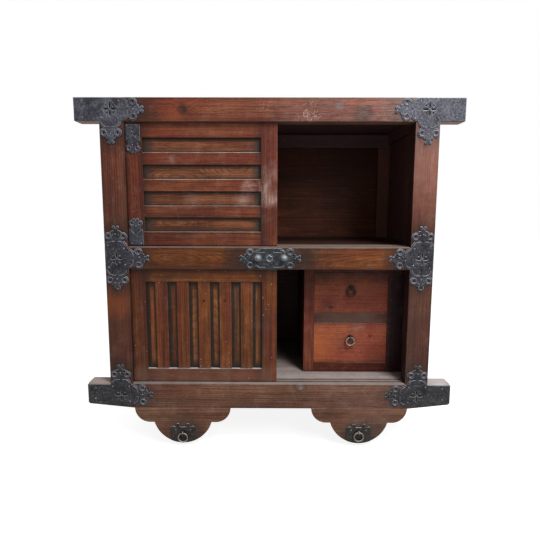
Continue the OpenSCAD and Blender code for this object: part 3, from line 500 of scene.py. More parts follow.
def add_marks(t):
    """Stained spots with painted light and shade, painted sheen, painted shade behind piercings, and
    painted light and shade by the way a face looks.
    """
    ripple = t.drift(t.coords, 38.0, 3.0)
    # Stained spots, and painted light and shade, as soft ragged spots
    for spot, size, shade, strength in t.stains:
        ragged = t.vector("ADD", t.coords, t.scale(ripple, size * 0.6 * MM))
        t.lay(t.times(t.near(ragged, spot, size * MM, core=0.35), strength), shade)
    speckle = t.noise(t.place, (26.0, 240.0, 240.0), 6.0, 0.8)
    speckle = t.spread(speckle, 0.4, 0.6, 0.12, 1.15)
    # Painted sheen: pale speckled patches that stand in for reflected light
    for spot, size, strength in t.hazes:
        ragged = t.vector("ADD", t.coords, t.scale(ripple, size * 1.6 * MM))
        sheen_mask = t.times(t.near(ragged, spot, size * MM, core=0.0), speckle)
        t.lay(t.times(sheen_mask, strength), PAINTED_SHEEN)
    # Painted shade on the wood that shows through the piercings of the irons
    for spot, size in t.holes:
        t.lay(t.near(t.coords, spot, size * MM, core=0.85), HOLE_SHADE)
    # Painted light and shade on the faces that look one way
    for way, shade, strength, *region in t.shaded:
        facing = t.spread(t.vector("DOT_PRODUCT", t.normal, way), 0.5, 0.9, 0.0, strength)
        if region:
            spot, size = region
            facing = t.times(facing, t.near(t.coords, spot, size * MM, core=0.3))
        t.lay(facing, shade)


def scratch_faces(t):
    """Fine pale scratches in some places."""
    for spot, size, strength in t.scratched:
        contour = t.math("ABSOLUTE", t.minus(t.noise(t.coords, 55.0, 3.0, 0.6), 0.5))
        broken = t.spread(t.noise(t.coords, 120.0, 2.0, 0.5), 0.45, 0.55)
        scratch = t.times(t.spread(contour, 0.004, 0.014, strength, 0.0), broken)
        scratch = t.times(scratch, t.near(t.coords, spot, size * MM, core=0.3))
        t.lay(scratch, SCRATCH)


def dust_cover(t):
    """How much dust lies on a place: settled on top, hazy elsewhere, and in single specks; thinning along Y
    keeps the pale top only at the front, as painted light.
    """
    settled = t.spread(t.worn, 0.32, 0.66, t.top_dust * 0.7, t.top_dust)
    settled = t.times(t.upward(), settled)
    settled = t.times(settled, t.spread(t.bands, 0.42, 0.62, 1.0, 0.75))
    # Painted light: the pale top thins from the front of a bay into painted shade
    if t.fade:
        start, end, left = t.fade
        settled = t.times(settled, t.spread(t.split(t.coords)["Y"], start, end, 1.0, left))
    haze = t.times(t.spread(t.worn, 0.52, 0.72), t.dust)
    specks = t.add("ShaderNodeTexVoronoi", {"Vector": t.coords, "Scale": 120.0}).outputs
    rare = t.math("GREATER_THAN", t.split(specks["Color"])["X"], 0.87)
    dots = t.times(t.spread(specks["Distance"], 0.07, 0.15, 0.75, 0.0), rare)
    return t.most(t.most(settled, haze), dots)


def wood_material(t):
    """The finished material of a Wood."""
    lay_out(t)
    grow_rings(t)
    vary(t)
    rounded, turn, corner = t.rounding(t.radius)
    stain_grain(t)
    draw_knots(t)
    rub_and_light_edges(t, turn, corner)
    soil(t)
    add_marks(t)
    scratch_faces(t)
    cover = dust_cover(t)
    t.lay(cover, t.dust_colour)
    fibrous = t.spread(t.fibres, 0.3, 0.7, t.gloss, t.gloss + 0.14)
    relief = t.plus(t.times(t.early, -0.5), t.times(t.fibres, -0.9))
    relief = t.plus(relief, t.times(t.grain, 0.25))
    return t.surface({
        "Base Color": t.colour,
        "Roughness": t.plus(fibrous, t.times(cover, 0.4)),
        "Normal": t.bump(relief, 0.6, 0.55, rounded),
        "Specular IOR Level": 0.18,
    })


def dress(node, material):
    """Gives a carried-over node its finish."""
    shown = nodes[node]
    shown.data.materials.clear()
    shown.data.materials.append(material)


def wooden(node, tones, rim=None, **choices):
    """Dresses a node in wood that is laid out from the node's middle; rim darkens its long edges."""
    if rim:
        across = "XYZ".index(choices.get("letters", Wood.letters)[1])
        choices["border"] = ((high(node) - low(node))[across] / 2, *rim)
    dress(node, wood_material(Wood(node + "_wood", tones, tuple(middle(node)), **choices)))


# Irons


def iron(name, dark, light, rim, gloss=0.42, hammered=1.0, radius=2.4, edge=0.8, dull=()):
    """Forged iron: soft patina, hammer marks, pale worn edges with a painted highlight, painted light on
    faces that look up, and painted shade underneath and in hollows.
    """
    t = Finish(name)
    dark, light, rim = (srgb(*tone) for tone in (dark, light, rim))
    clouds = t.noise(t.coords, 40.0, 4.0, 0.6)
    mottle = t.noise(t.coords, 170.0, 4.0, 0.7)
    grit = t.noise(t.coords, 520.0, 3.0, 0.7)
    rust = t.noise(t.coords, 70.0, 5.0, 0.75)
    dents = t.add("ShaderNodeTexVoronoi", {"Vector": t.coords, "Scale": 150.0}, feature="SMOOTH_F1")
    t.colour = t.mix(t.spread(clouds, 0.3, 0.62), dark, light)
    t.lay(t.times(t.spread(rust, 0.58, 0.76), 0.35), srgb(60, 46, 40))
    t.lay(t.spread(mottle, 0.48, 0.62, 0.0, 0.75), dark)
    t.lay(t.spread(mottle, 0.42, 0.3, 0.0, 0.35), rim)
    t.lay(t.spread(grit, 0.48, 0.68, 0.0, 0.35), dark)
    for spot, size, shade in dull:
        t.lay(t.times(t.near(t.coords, spot, size * MM, core=0.8), 0.85), shade)
    # Painted light on faces that look up, painted shade on faces that look down
    facing = t.split(t.normal)["Z"]
    t.lay(t.spread(facing, 0.2, 0.8, 0.0, 0.5), rim)
    t.lay(t.spread(facing, -0.1, -0.75, 0.0, 0.75), srgb(16, 15, 16))
    # Pale edges: wear with a painted highlight, strongest on the upper ones; painted shade under the lower
    # ones
    rounded, turn, corner = t.rounding(radius)
    rubbed_and_lit = t.spread(clouds, 0.3, 0.5, 0.55, 1.0)
    t.lay(t.times(t.spread(corner, 0.01, 0.12, 0.0, edge), rubbed_and_lit), rim)
    t.lay(t.times(t.spread(turn, 0.02, 0.2, 0.0, 0.95), rubbed_and_lit), rim)
    t.lay(t.spread(turn, -0.1, -0.5, 0.0, 0.75), srgb(16, 14, 15))
    # Painted shade in the hollows round the raised work
    t.lay(t.times(t.grime_and_shade(6), 0.85), srgb(12, 11, 12))
    height = t.plus(t.times(dents.outputs["Distance"], hammered), t.times(mottle, 0.5))
    return t.surface({
        "Base Color": t.colour,
        "Roughness": t.spread(clouds, 0.3, 0.7, gloss, gloss + 0.2),
        "Normal": t.bump(height, 0.6, 0.9, rounded),
        "Metallic": 0.25,
        "Specular IOR Level": 0.2,
    })


BOSS_DULL = [((0.0008, IRON_Y, 0.56475), 18, srgb(66, 70, 74))]
# The top, middle and lower irons are lit and shaded copies of one iron: painted light at the top, painted
# shade lower down
LIT_TOP_IRON = iron("plate_iron", (42, 41, 46), (96, 96, 107), (158, 158, 168))
SHADED_MIDDLE_IRON = iron("middle_iron", (26, 26, 29), (70, 70, 78), (172, 172, 178))
SHADED_LOWER_IRON = iron("lower_iron", (25, 24, 25), (68, 67, 71), (158, 158, 160))
BRACKET_IRON = iron("bracket_iron", (26, 23, 21), (60, 56, 52), (132, 126, 120), edge=0.12)
# The raised lines are lighter than the plates: wear with a painted highlight
RIDGE_IRON = iron("ridge_iron", (62, 62, 68), (122, 122, 132), (204, 204, 210), radius=0.6)
DOOR_IRON = iron("door_iron", (34, 34, 38), (80, 80, 90), (160, 160, 170))
CENTRE_IRON = iron("centre_iron", (21, 22, 25), (60, 64, 68), (160, 164, 170))
KNOB_IRON = iron("knob_iron", (78, 83, 88), (122, 129, 135), (190, 196, 202), 0.3, 0.25, dull=BOSS_DULL)
# The raised lines on the bracket plates are lighter too: wear with a painted highlight
SCROLL_IRON = iron("scroll_iron", (84, 82, 78), (146, 142, 136), (206, 202, 196), radius=0.5)
NAIL_IRON = iron("nail_iron", (84, 86, 92), (150, 152, 158), (208, 210, 214), 0.32, 0.1, 0.4)
RING_IRON = iron("ring_iron", (92, 82, 72), (168, 156, 142), (206, 196, 184), 0.32, 0.2, 0.4)
DARK_RING_IRON = iron("dark_ring_iron", (28, 24, 22), (64, 54, 46), (120, 106, 94), 0.34, 0.2, 0.4)

# Marks on the wood


def spots(*marks, y=FACE_Y):
    """Marks given by x, z and what else they need, as they lie on a face."""
    return [((x, y, z), *rest) for x, z, *rest in marks]


def pierced(z, x=CORNER_FLOWER_X):
    """Painted shade on the wood behind the pierced flowers of a pair of irons."""
    return spots(*((side * x, z, 23) for side in SIDES))


def post_marks(side, strength):
    """Wood stained by the irons' upright arms."""
    places = ((TOP_FLOWER_Z - 0.07, 56), (MIDDLE_FLOWER_Z + 0.075, 52), (MIDDLE_FLOWER_Z - 0.075, 52),
              (BOTTOM_FLOWER_Z + 0.07, 56))
    return spots(*((side * MIDDLE_FLOWER_X, z, size, RUST_DARK, strength) for z, size in places))


POST_HOLES = pierced(TOP_FLOWER_Z) + pierced(MIDDLE_FLOWER_Z, MIDDLE_FLOWER_X) + pierced(BOTTOM_FLOWER_Z)
# Painted shade behind the slots of the centre plate
PLATE_SLOTS = spots(*((x, z, 14) for x in (-0.0198, 0.0267) for z in (0.584, 0.5455)))
ARM_X = 0.37
BRACKETS_X = (-0.255, 0.267)

# Front frame

# Pale tops of the beam's ends: dust with a painted reflection
BEAM_END_PALE = spots(
    (-0.5, LOWER_BAY_Z, 62, srgb(172, 148, 136), 0.85), (0.5, LOWER_BAY_Z, 62, srgb(222, 219, 219), 0.85),
    y=FACE_Y + 0.024,
)
# The top beam carries painted light on its underside, painted sheen on its face and painted shade behind
# the piercings of the irons
wooden(
    "top_front_beam", FRAME_STAIN, pith=(-150, 60), sway=4.0, figure=0.35, dust=0.1, top_dust=0.6,
    rim=(9, 0.5), holes=pierced(TOP_FLOWER_Z), shaded=[(DOWN, srgb(170, 122, 84), 0.6)],
    knots=spots((-0.2385, 0.971, 14, srgb(46, 36, 35)), (0.190, 0.983, 11, srgb(98, 88, 88))),
    stains=spots(
        (0.250, 0.957, 36, SOOT_AND_SHADE, 0.65), (0.262, 0.968, 26, SOOT_AND_SHADE, 0.45), (-0.33, 0.975, 60, SOOT_AND_SHADE, 0.3),
        (-0.2385, 0.971, 30, SOOT_AND_SHADE, 0.35), (-0.262, 0.955, 40, srgb(150, 72, 40), 0.35),
        (-ARM_X, TOP_FLOWER_Z, 70, RUST_DARK, 0.8), (ARM_X, TOP_FLOWER_Z, 70, IRON_STAIN, 0.8),
    ),
    hazes=spots((0.30, 0.99, 190, 0.3), (0.10, 0.965, 130, 0.2), (0.40, 0.985, 80, 0.3)),
    scratched=spots((0.105, 0.967, 46, 0.7), (0.31, 0.962, 40, 0.2), (-0.01, 0.98, 34, 0.2)),
)
# The middle rail carries painted shade behind the piercings of the irons and the slots of the centre plate
wooden(
    "middle_front_rail", RAIL_STAIN, pith=(-4, 55), tilt=0.01, rings=190, sway=6.0, figure=0.5,
    top_dust=0.75, tint=(0.92, 0.9, 0.95), rim=(9, 0.6),
    stains=spots(
        *((x, MIDDLE_FLOWER_Z, 60, RUST_DARK, 0.8) for x in (-0.372, -0.085, 0.092, 0.372)),
        (-0.25, 0.565, 190, srgb(52, 28, 15), 0.3),
    ),
    holes=pierced(MIDDLE_FLOWER_Z, MIDDLE_FLOWER_X) + PLATE_SLOTS,
    flames=spots((-0.25, 0.567, 170, 29, 24), (0.35, 0.557, 230, 36, 22)),
)
# The bottom beam carries painted reflections on the tops of its ends, painted sheen and painted shade
# behind the piercings of the irons
wooden(
    "bottom_front_beam", SILL_STAIN, pith=(140, 80), sway=4.5, figure=0.4, dust=0.1, top_dust=0.8,
    rim=(9, 0.45), corners=(9, 0.6, SOOT_AND_SHADE), dust_colour=srgb(168, 160, 156), tint=(1.12, 1.14, 1.18),
    holes=pierced(BOTTOM_FLOWER_Z), hazes=spots((0.0915, 0.186, 14, 0.6), (0.26, 0.17, 190, 0.2)),
    stains=spots(*((side * ARM_X, BOTTOM_FLOWER_Z, 56, IRON_STAIN, 0.75) for side in SIDES))
    + BEAM_END_PALE + spots((0.0915, 0.184, 24, srgb(70, 58, 52), 0.7)),
)
# The left post carries painted shade towards its foot and behind the piercings of the irons
wooden(
    "left_front_post", POST_STAIN, letters="ZXY", pith=(170, 60), figure=0.4, rim=(8, 0.55),
    tint=(0.97, 1.1, 1.2), holes=POST_HOLES,
    stains=spots(
        (-0.432, 0.33, 210, srgb(44, 26, 19), 0.4), (-0.448, 0.44, 70, srgb(142, 74, 40), 0.5),
    ) + post_marks(-1, 0.75),
)
# The right post carries painted shade on its inner face and towards its foot, painted sheen on its upper
# part, and painted shade behind the piercings of the irons
wooden(
    "right_front_post", POST_STAIN, letters="ZXY", pith=(-190, 60), figure=0.35, dust=0.1,
    rim=(8, 0.45), tint=(0.9, 1.08, 1.3), holes=POST_HOLES, shaded=[(TO_LEFT, srgb(26, 13, 16), 0.8)],
    stains=spots(
        (0.43, 0.84, 200, srgb(160, 104, 88), 0.35), (0.43, 0.33, 210, srgb(48, 36, 34), 0.4),
    ) + post_marks(1, 0.5),
    hazes=spots((0.43, 0.86, 160, 0.2)),
)

# Rear frame and sides

# The faces of the rear beams that look into the chest carry painted grey light
for rear in ("top_rear_beam", "middle_rear_rail", "bottom_rear_beam"):
    wooden(rear, FRAME_STAIN, pith=(150, -60), rim=(9, 0.5), shaded=[(TO_FRONT, PAINTED_INNER_LIGHT, 0.6)])
# The faces of the rear posts that look into the chest carry warm painted light
for rear in ("left_rear_post", "right_rear_post"):
    wooden(
        rear, POST_STAIN, letters="ZXY", pith=(160, -60), shaded=[(TO_FRONT, srgb(160, 114, 96), 0.6)],
    )
# The faces of the sides that look into the chest carry painted grey light
for side, inward in (("left", TO_RIGHT), ("right", TO_LEFT)):
    inside = [(inward, PAINTED_INNER_LIGHT, 0.45)]
    wooden(
        side + "_side_rails", FRAME_STAIN, letters="YZX", pith=(150, 60), cells=("Z", 0.0, 0.32),
        shaded=inside,
    )
    wooden(
        side + "_side_panels", PANEL_STAIN, letters="ZYX", pith=(0, 35), tilt=0.03, rings=150,
        figure=0.6, sway=9.0, cells=("Z", 0.0, 0.565), shaded=inside,
    )

# Boards

BOARDS = dict(letters="XYZ", tilt=0.03, rings=150, sway=8.0, cells=("Y", -0.2, 0.1335))
# The back boards carry painted shade where they stand deep in each bay
wooden(
    "back_boards", INNER_STAIN, pith=(10, 60), tilt=0.02, rings=75, figure=0.25, sway=14.0,
    top_dust=0.0, edge=0.0, dust=0.0, lines=0.4, contrast=0.6, tint=(1.1, 1.0, 0.85),
    flames=spots((0.0, 0.692, 125, 20, 16), (0.0, 0.625, 130, 20, 16), (0.27, 0.62, 60, 14, 12), y=BACK_Y),
    shaded=[
        (TO_FRONT, SOOT_AND_SHADE, 0.8, (0.1, BACK_Y, 0.33), 260), (TO_FRONT, SOOT_AND_SHADE, 0.5, (0.3, BACK_Y, 0.9), 220),
    ],
)
# The underside of the top boards carries painted grey light
wooden("top_boards", FRAME_STAIN, pith=(20, -60), top_dust=0.45, shaded=[(DOWN, PAINTED_INNER_LIGHT, 0.55)], **BOARDS)
# The shelf is darkened all over as painted shade, and its pale dust stays only at the front as painted
# light
wooden(
    "shelf_boards", INNER_STAIN, pith=(30, -60), top_dust=0.85, edge=0.0, tint=(0.3, 0.32, 0.35),
    fade=(SHELF_FRONT_Y + 0.02, SHELF_FRONT_Y + 0.07, 0.03), **BOARDS,
)
# The pale dust on the floor thins from the front of the bay: painted light
wooden(
    "floor_boards", INNER_STAIN, pith=(30, -60), top_dust=0.9, edge=0.0, dust_colour=PALE_DUST,
    fade=(SHELF_FRONT_Y + 0.02, SHELF_FRONT_Y + 0.24, 0.4), **BOARDS,
)
# The cleat's front face carries painted grey light
wooden("ceiling_cleat", INNER_STAIN, pith=(120, 60), shaded=[(TO_FRONT, PAINTED_INNER_LIGHT, 0.6)])

# Brackets and wheels

# The front brackets carry a faint painted sheen
wooden(
    "front_brackets", SILL_STAIN, pith=(160, 60), figure=0.4, radius=2.6, dust=0.1,
    cells=("X", -1.0, 1.0), corners=(6, 0.5, SOOT_AND_SHADE), tint=(1.45, 1.6, 1.64),
    hazes=spots((0.3, 0.1, 110, 0.15)),
    stains=spots(
        (0.267, 0.09, 70, srgb(132, 84, 60), 0.35),
        *((x + 0.008, 0.018, 94, srgb(56, 48, 43), 0.96) for x in BRACKETS_X),
    ),
)
wooden("rear_brackets", SILL_STAIN, pith=(160, -60), radius=2.6, cells=("X", -1.0, 1.0))
for turned, letters in (("wheel_axles", "YXZ"), ("axle_collars", "YXZ"), ("axle_pins", "ZXY")):
    wooden(turned, WHEEL_STAIN, letters=letters, pith=(0, 0))
for wheel in ("left_front_wheel", "right_front_wheel", "left_rear_wheel", "right_rear_wheel"):
    wooden(wheel, WHEEL_STAIN, pith=(60, 30), gloss=0.55, dust=0.4, radius=2.5)

# Drawer unit

# A painted shadow of the right front post darkens the right stile of the unit
wooden(
    "unit_stiles", DOOR_STAIN, letters="ZXY", pith=(120, 60), cells=("X", -1.0, 1.25),
    tint=(0.9, 0.85, 1.05),
    stains=spots(*((0.40, z, 70, srgb(26, 9, 14), 0.88) for z in (0.24, 0.3, 0.36, 0.42, 0.48)), y=UNIT_Y),
)
wooden(
    "unit_rails", DOOR_STAIN, pith=(120, 60), cells=("Z", 0.19, 0.15), tint=(0.5, 0.4, 0.45), edge=0.4,
    stains=spots((0.25, 0.37, 150, srgb(100, 76, 66), 0.7), y=UNIT_Y),
)
for board, letters in (("unit_left_side", "YZX"), ("unit_top_board", "YXZ")):
    wooden(board, INNER_STAIN, letters=letters, pith=(10, 40), tilt=0.04, rings=150, sway=8.0)
wooden("drawer_runners", BARE_WOOD, letters="YXZ", pith=(80, 40))

DRAWER_KNOT = srgb(58, 34, 28)
# Painted shadow of the middle rail along the top of the upper drawer; the spot at the knot is a stain
UPPER_DRAWER = dict(
    tint=(0.84, 0.84, 0.95),
    knots=spots((0.190, 0.404, 7, DRAWER_KNOT), y=UNIT_Y),
    stains=spots(
        (0.17, 0.52, 60, SOOT_AND_SHADE, 0.65), (0.18, 0.404, 30, SOOT_AND_SHADE, 0.3), (0.34, 0.52, 60, SOOT_AND_SHADE, 0.6),
        (0.255, 0.527, 64, SOOT_AND_SHADE, 0.6), y=UNIT_Y,
    ),
)
# The lower drawer carries a small painted sheen
LOWER_DRAWER = dict(
    tint=(0.94, 0.96, 1.03),
    knots=spots((0.314, 0.313, 6, DRAWER_KNOT), y=UNIT_Y),
    stains=spots(
        (0.165, 0.28, 60, srgb(190, 102, 52), 0.45), (0.34, 0.24, 50, SOOT_AND_SHADE, 0.35),
        (0.30, 0.33, 70, srgb(126, 50, 42), 0.4), y=UNIT_Y,
    ),
    hazes=spots((0.276, 0.344, 32, 0.4), y=UNIT_Y),
)
for level, marks in (("upper", UPPER_DRAWER), ("lower", LOWER_DRAWER)):
    wooden(
        level + "_drawer_front", DRAWER_STAIN, pith=(160, 60), rings=120, figure=0.15, gloss=0.36,
        contrast=0.4, rim=(7, 0.4), **marks,
    )
    wooden(level + "_drawer_box", BARE_WOOD, letters="YZX", pith=(80, 60), gloss=0.55)

# Doors

UPPER_STILE = 46.0
UPPER_RAIL = 41.5
UPPER_PITCH = 73.2
UPPER_GAP = 39.3
LOWER_STILE = 43.0
LOWER_RAIL = 40.8
LOWER_TOP_RAIL = 38.0
LOWER_PITCH = 61.5
LOWER_GAP = 27.3
PANEL_Y = DOOR_Y + 0.0085
PANEL_FLAMES = spots(
    (-0.23, 0.869, 170, 26, 22), (-0.09, 0.812, 110, 34, 32), (-0.27, 0.79, 110, 26, 20),
    (-0.14, 0.720, 150, 34, 34), (-0.09, 0.650, 110, 30, 26), (-0.27, 0.672, 100, 26, 20), y=PANEL_Y,
)
# Painted sheen on the front upper door
DOOR_SHEENS = spots(
    (-0.003, 0.742, 34, 0.7), (0.010, 0.724, 24, 0.6), (-0.01, 0.766, 24, 0.5), (-0.060, 0.763, 30, 0.6),
    (0.010, 0.80, 40, 0.4), (-0.27, 0.84, 18, 0.4), y=DOOR_Y,
)
# Painted sheen on the front upper panel
PANEL_SHEENS = spots((-0.074, 0.732, 30, 0.6), (-0.22, 0.735, 34, 0.25), y=PANEL_Y)
UPPER_SHADOWS = spots(
    *((-0.33 + 0.08 * step, z, 60, SOOT_AND_SHADE, 0.22) for step in range(4) for z in (0.622, 0.692)), y=DOOR_Y,
)
# Painted shade along the lower door's top rail, under the middle rail, and pale worn patches on its bottom
# rail
LOWER_SHADOWS_AND_WEAR = spots(
    *((-0.355 + 0.06 * step, 0.523, 46, SOOT_AND_SHADE, 0.4) for step in range(7)),
    *((-0.37 + 0.06 * step, 0.216, 40, srgb(122, 94, 80), 0.4) for step in range(7)), y=DOOR_Y,
)
LOWER_DOOR_KNOTS = spots((-0.1883, 0.4403, 3.6, SOOT_AND_SHADE), (-0.1275, 0.4405, 3.6, SOOT_AND_SHADE), y=DOOR_Y)

LATTICE = dict(
    pith=(150, 70), rings=190, sway=4.0, figure=0.35, gloss=0.4, edge=1.0, radius=3.2,
    corners=(6, 0.6, SOOT_AND_SHADE),
)
PANEL = dict(pith=(0, 26), figure=0.6, lines=0.25, corners=(12, 0.8, MOSS))


def upper_door(door, in_front):
    """A lattice of level slats and the figured panel behind it."""
    lattice = door + "_lattice"
    wooden(
        lattice, DOOR_STAIN, top_dust=0.75, tint=(0.97, 0.95, 1.05), **LATTICE,
        door=dict(node=lattice, stile=UPPER_STILE, pitch_x=400.0, pitch_z=UPPER_PITCH),
        stains=UPPER_SHADOWS, hazes=DOOR_SHEENS if in_front else (),
    )
    wooden(
        door + "_panel", PANEL_STAIN, tilt=0.03, rings=170, sway=15.0, gap_shade=srgb(42, 41, 37),
        tint=(0.86, 0.84, 1.0), **PANEL,
        gaps=dict(
            letter="Z", start=UPPER_BAY_Z + UPPER_RAIL * MM, pitch=UPPER_PITCH, gap=UPPER_GAP,
            first=(0.0, 7.0), last=(2.0, 10.0), other="X", low_end=(6.0, 34.0), high_end=(8.0, 30.0),
            ends=(low(lattice).x + UPPER_STILE * MM, high(lattice).x - UPPER_STILE * MM),
        ),
        hazes=PANEL_SHEENS if in_front else (), flames=PANEL_FLAMES if in_front else (),
    )


def lower_door(door, in_front):
    """A lattice of upright bars and the figured panel behind it."""
    lattice = door + "_lattice"
    wooden(
        lattice, LOWER_DOOR_STAIN, top_dust=0.95, dust=0.03, dust_colour=srgb(226, 226, 230),
        tint=(1.08, 1.1, 1.06), **LATTICE,
        door=dict(
            node=lattice, stile=LOWER_STILE, pitch_x=LOWER_PITCH, pitch_z=168.0,
            bottom_rail=LOWER_RAIL, top_rail=LOWER_TOP_RAIL,
        ),
        stains=LOWER_SHADOWS_AND_WEAR, knots=LOWER_DOOR_KNOTS if in_front else (),
    )
    wooden(
        door + "_panel", PANEL_STAIN, letters="ZXY", tilt=0.14, rings=300, sway=13.0,
        gap_shade=srgb(18, 15, 14), tint=(1.05, 1.1, 1.06),
        cells=("X", low(lattice).x + 0.03, LOWER_PITCH * MM), **PANEL,
        gaps=dict(
            letter="X", start=low(lattice).x + LOWER_STILE * MM, pitch=LOWER_PITCH, gap=LOWER_GAP,
            first=(7.5, 11.0), last=(1.0, 6.0), other="Z", low_end=(6.0, 30.0), high_end=(6.0, 30.0),
            ends=(LOWER_BAY_Z + LOWER_RAIL * MM, LOWER_BAY_TOP_Z - LOWER_TOP_RAIL * MM),
        ),
    )


for end in ("front", "rear"):
    upper_door("upper_" + end + "_door", end == "front")
    lower_door("lower_" + end + "_door", end == "front")

# Metal fittings

FITTINGS = dict(
    top_irons=LIT_TOP_IRON, middle_irons=SHADED_MIDDLE_IRON, bottom_irons=SHADED_LOWER_IRON, bracket_plates=BRACKET_IRON,
    upper_door_irons=DOOR_IRON, centre_plate=CENTRE_IRON, centre_knobs=KNOB_IRON,
    bracket_staples=RING_IRON, left_bracket_ring=RING_IRON, right_bracket_ring=RING_IRON,
    lower_drawer_ring=RING_IRON, upper_drawer_ring=DARK_RING_IRON,
    upper_drawer_staple=DARK_RING_IRON, lower_drawer_staple=DARK_RING_IRON,
)
for fitting, material in FITTINGS.items():
    dress(fitting, material)


def placed(name, data):
    """A new object with this data, in the scene."""
    made = bpy.data.objects.new(name, data)
    bpy.context.collection.objects.link(made)
    return made


# Raised work on the irons, in millimetres: nails, ridges round the scroll eyes, chevrons and rims

NAIL_SIDES = 14
NAIL_LEVELS = (0.0, 0.45, 0.9, 1.3)
SUNK = 0.4


class Relief:
    """A mesh of small raised forms on one flat iron face that looks to the front."""

    def __init__(self, face_y):
        self.face = face_y / MM
        self.mesh = bmesh.new()

    def ring(self, points):
        return [self.mesh.verts.new([v * MM for v in point]) for point in points]

    def join(self, first, second):
        for index in range(len(first)):
            following = (index + 1) % len(first)
            self.mesh.faces.new((first[index], first[following], second[following], second[index]))

    def skin(self, rings, closed=False):
        """Joins rings of points in a row, and closes the row on itself or at both ends."""
        for first, second in zip(rings, rings[1:]):
            self.join(first, second)
        if closed:
            self.join(rings[-1], rings[0])
        else:
            self.mesh.faces.new(rings[0][::-1])
            self.mesh.faces.new(rings[-1])

    def nail(self, x, z, radius=2.3, height=1.3):
        """A low dome with its foot sunk a little into the plate."""
        levels = [(radius, SUNK)]
        levels += [(radius * math.cos(angle), -height * math.sin(angle)) for angle in NAIL_LEVELS]
        turns = [2 * math.pi * step / NAIL_SIDES for step in range(NAIL_SIDES)]
        self.skin([
            self.ring([(x + reach * math.cos(a), self.face + out, z + reach * math.sin(a)) for a in turns])
            for reach, out in levels
        ])

    def ridge(self, path, width=1.4, height=1.2, closed=False):
        """A half-round line along a path of (x, z) places."""
        shape = [(-1.0, SUNK), (-1.0, 0.0), (-0.6, -0.75 * height), (0.0, -height), (0.6, -0.75 * height),
                 (1.0, 0.0), (1.0, SUNK)]
        rings = []
        count = len(path)
        for index, (x, z) in enumerate(path):
            before = path[index - 1] if index or closed else path[0]
            after = path[(index + 1) % count] if index + 1 < count or closed else path[-1]
            run = Vector((after[0] - before[0], after[1] - before[1])).normalized()
            side = Vector((-run.y, run.x)) * width
            rings.append(self.ring([(x + side.x * s, self.face + out, z + side.y * s) for s, out in shape]))
        self.skin(rings, closed)

    def done(self, name, body, material):
        bmesh.ops.recalc_face_normals(self.mesh, faces=self.mesh.faces)
        data = bpy.data.meshes.new(name)
        self.mesh.to_mesh(data)
        self.mesh.free()
        for face in data.polygons:
            face.use_smooth = True
        data.materials.append(material)
        made = placed(name, data)
        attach(made, body)


def nail_heads(name, body, face_y, places, *sizes):
    nails = Relief(face_y)
    for x, z in places:
        nails.nail(x, z, *sizes)
    nails.done(name, body, NAIL_IRON)


def arc(x, z, radius, start, end, steps):
    """Places on an arc; angles in degrees, from +X towards +Z."""
    turns = [math.radians(start + (end - start) * step / steps) for step in range(steps + 1)]
    return [(x + radius * math.cos(turn), z + radius * math.sin(turn)) for turn in turns]


ARM_EYE = 63.0
ARM_SHOULDER = 30.5
SCROLL = 12.5


def arm_ridges(relief, x, z, turn, half):
    """Ridges of one arm that leaves (x, z) at an angle, as the arm's outline does."""
    turn = math.radians(turn)

    def place(u, v):
        return (x + u * math.cos(turn) - v * math.sin(turn), z + u * math.sin(turn) + v * math.cos(turn))

    for side in SIDES:
        eye = (ARM_EYE - 0.6, side * (half - SCROLL + 0.4))
        relief.ridge([place(*p) for p in arc(*eye, 7.6, 0, 345, 18)], 1.5, 1.4, closed=True)
        curl = [(u, side * v) for u, v in arc(ARM_SHOULDER, half * 0.28, half * 0.55, 80, -20, 8)]
        relief.ridge([place(*p) for p in curl], 1.4, 1.1)


def diamond(relief, x, z, reach):
    """A thin ridge round the flower."""
    corners = [(reach, 0), (0, reach), (-reach, 0), (0, -reach)]
    path = []
    for (u, v), (w, s) in zip(corners, corners[1:] + corners[:1]):
        path += [(x + u + (w - u) * step / 4, z + v + (s - v) * step / 4) for step in range(4)]
    relief.ridge(path, 0.9, 0.5, closed=True)


# For each pair of irons: the flower's place, and each arm's angle and half width
IRON_ARMS = {
    "top": (434.0, 972.5, ((180, 31.0), (-90, 30.5))),
    "middle": (432.0, 564.75, ((180, 30.25), (90, 32.5), (-90, 32.5))),
    "bottom": (434.0, 160.25, ((180, 32.75), (90, 30.5))),
}
IRON_NAILS = {
    "top": [(510, 994), (509, 950.5), (409.4, 994.3), (459, 949.6), (412.4, 948.3), (434, 907.5),
            (371.2, 973)],
    "middle": [(433.2, 633.6), (455, 600.6), (409.9, 593.4), (454.5, 538.9), (408, 546.7),
               (432.3, 505.6), (368, 568)],
    "bottom": [(508.6, 182), (510.5, 149.5), (459, 186.5), (410.5, 185.6), (409.5, 140.6),
               (435, 227.2), (372, 161.7)],
}


def frame_irons(iron_name, flower_x, flower_z, arms):
    """Ridges and nails of a mirrored pair of irons."""
    ridges = Relief(IRON_Y)
    for side in SIDES:
        for turn, half_width in arms:
            arm_ridges(ridges, side * flower_x, flower_z, turn if side > 0 else 180 - turn, half_width)
        if iron_name == "top":
            diamond(ridges, side * flower_x, flower_z, 24.5)
    ridges.done(iron_name + "_iron_ridges", "case", RIDGE_IRON)
    places = [(side * x, z) for x, z in IRON_NAILS[iron_name] for side in SIDES]
    nail_heads(iron_name + "_iron_nails", "case", IRON_Y, places)


PLATE_X = 3.0
PLATE_Z = 564.75
PLATE_ARM_START = 5.5
BOSS_X = 0.8
KNOBS_X = (-32.4, 41.6)
PLATE_NAILS = ((-36.6, 588.0), (40.4, 588.2), (-37.2, 544.6), (41.0, 544.4), (-68.4, 565.4), (74.0, 565.3))


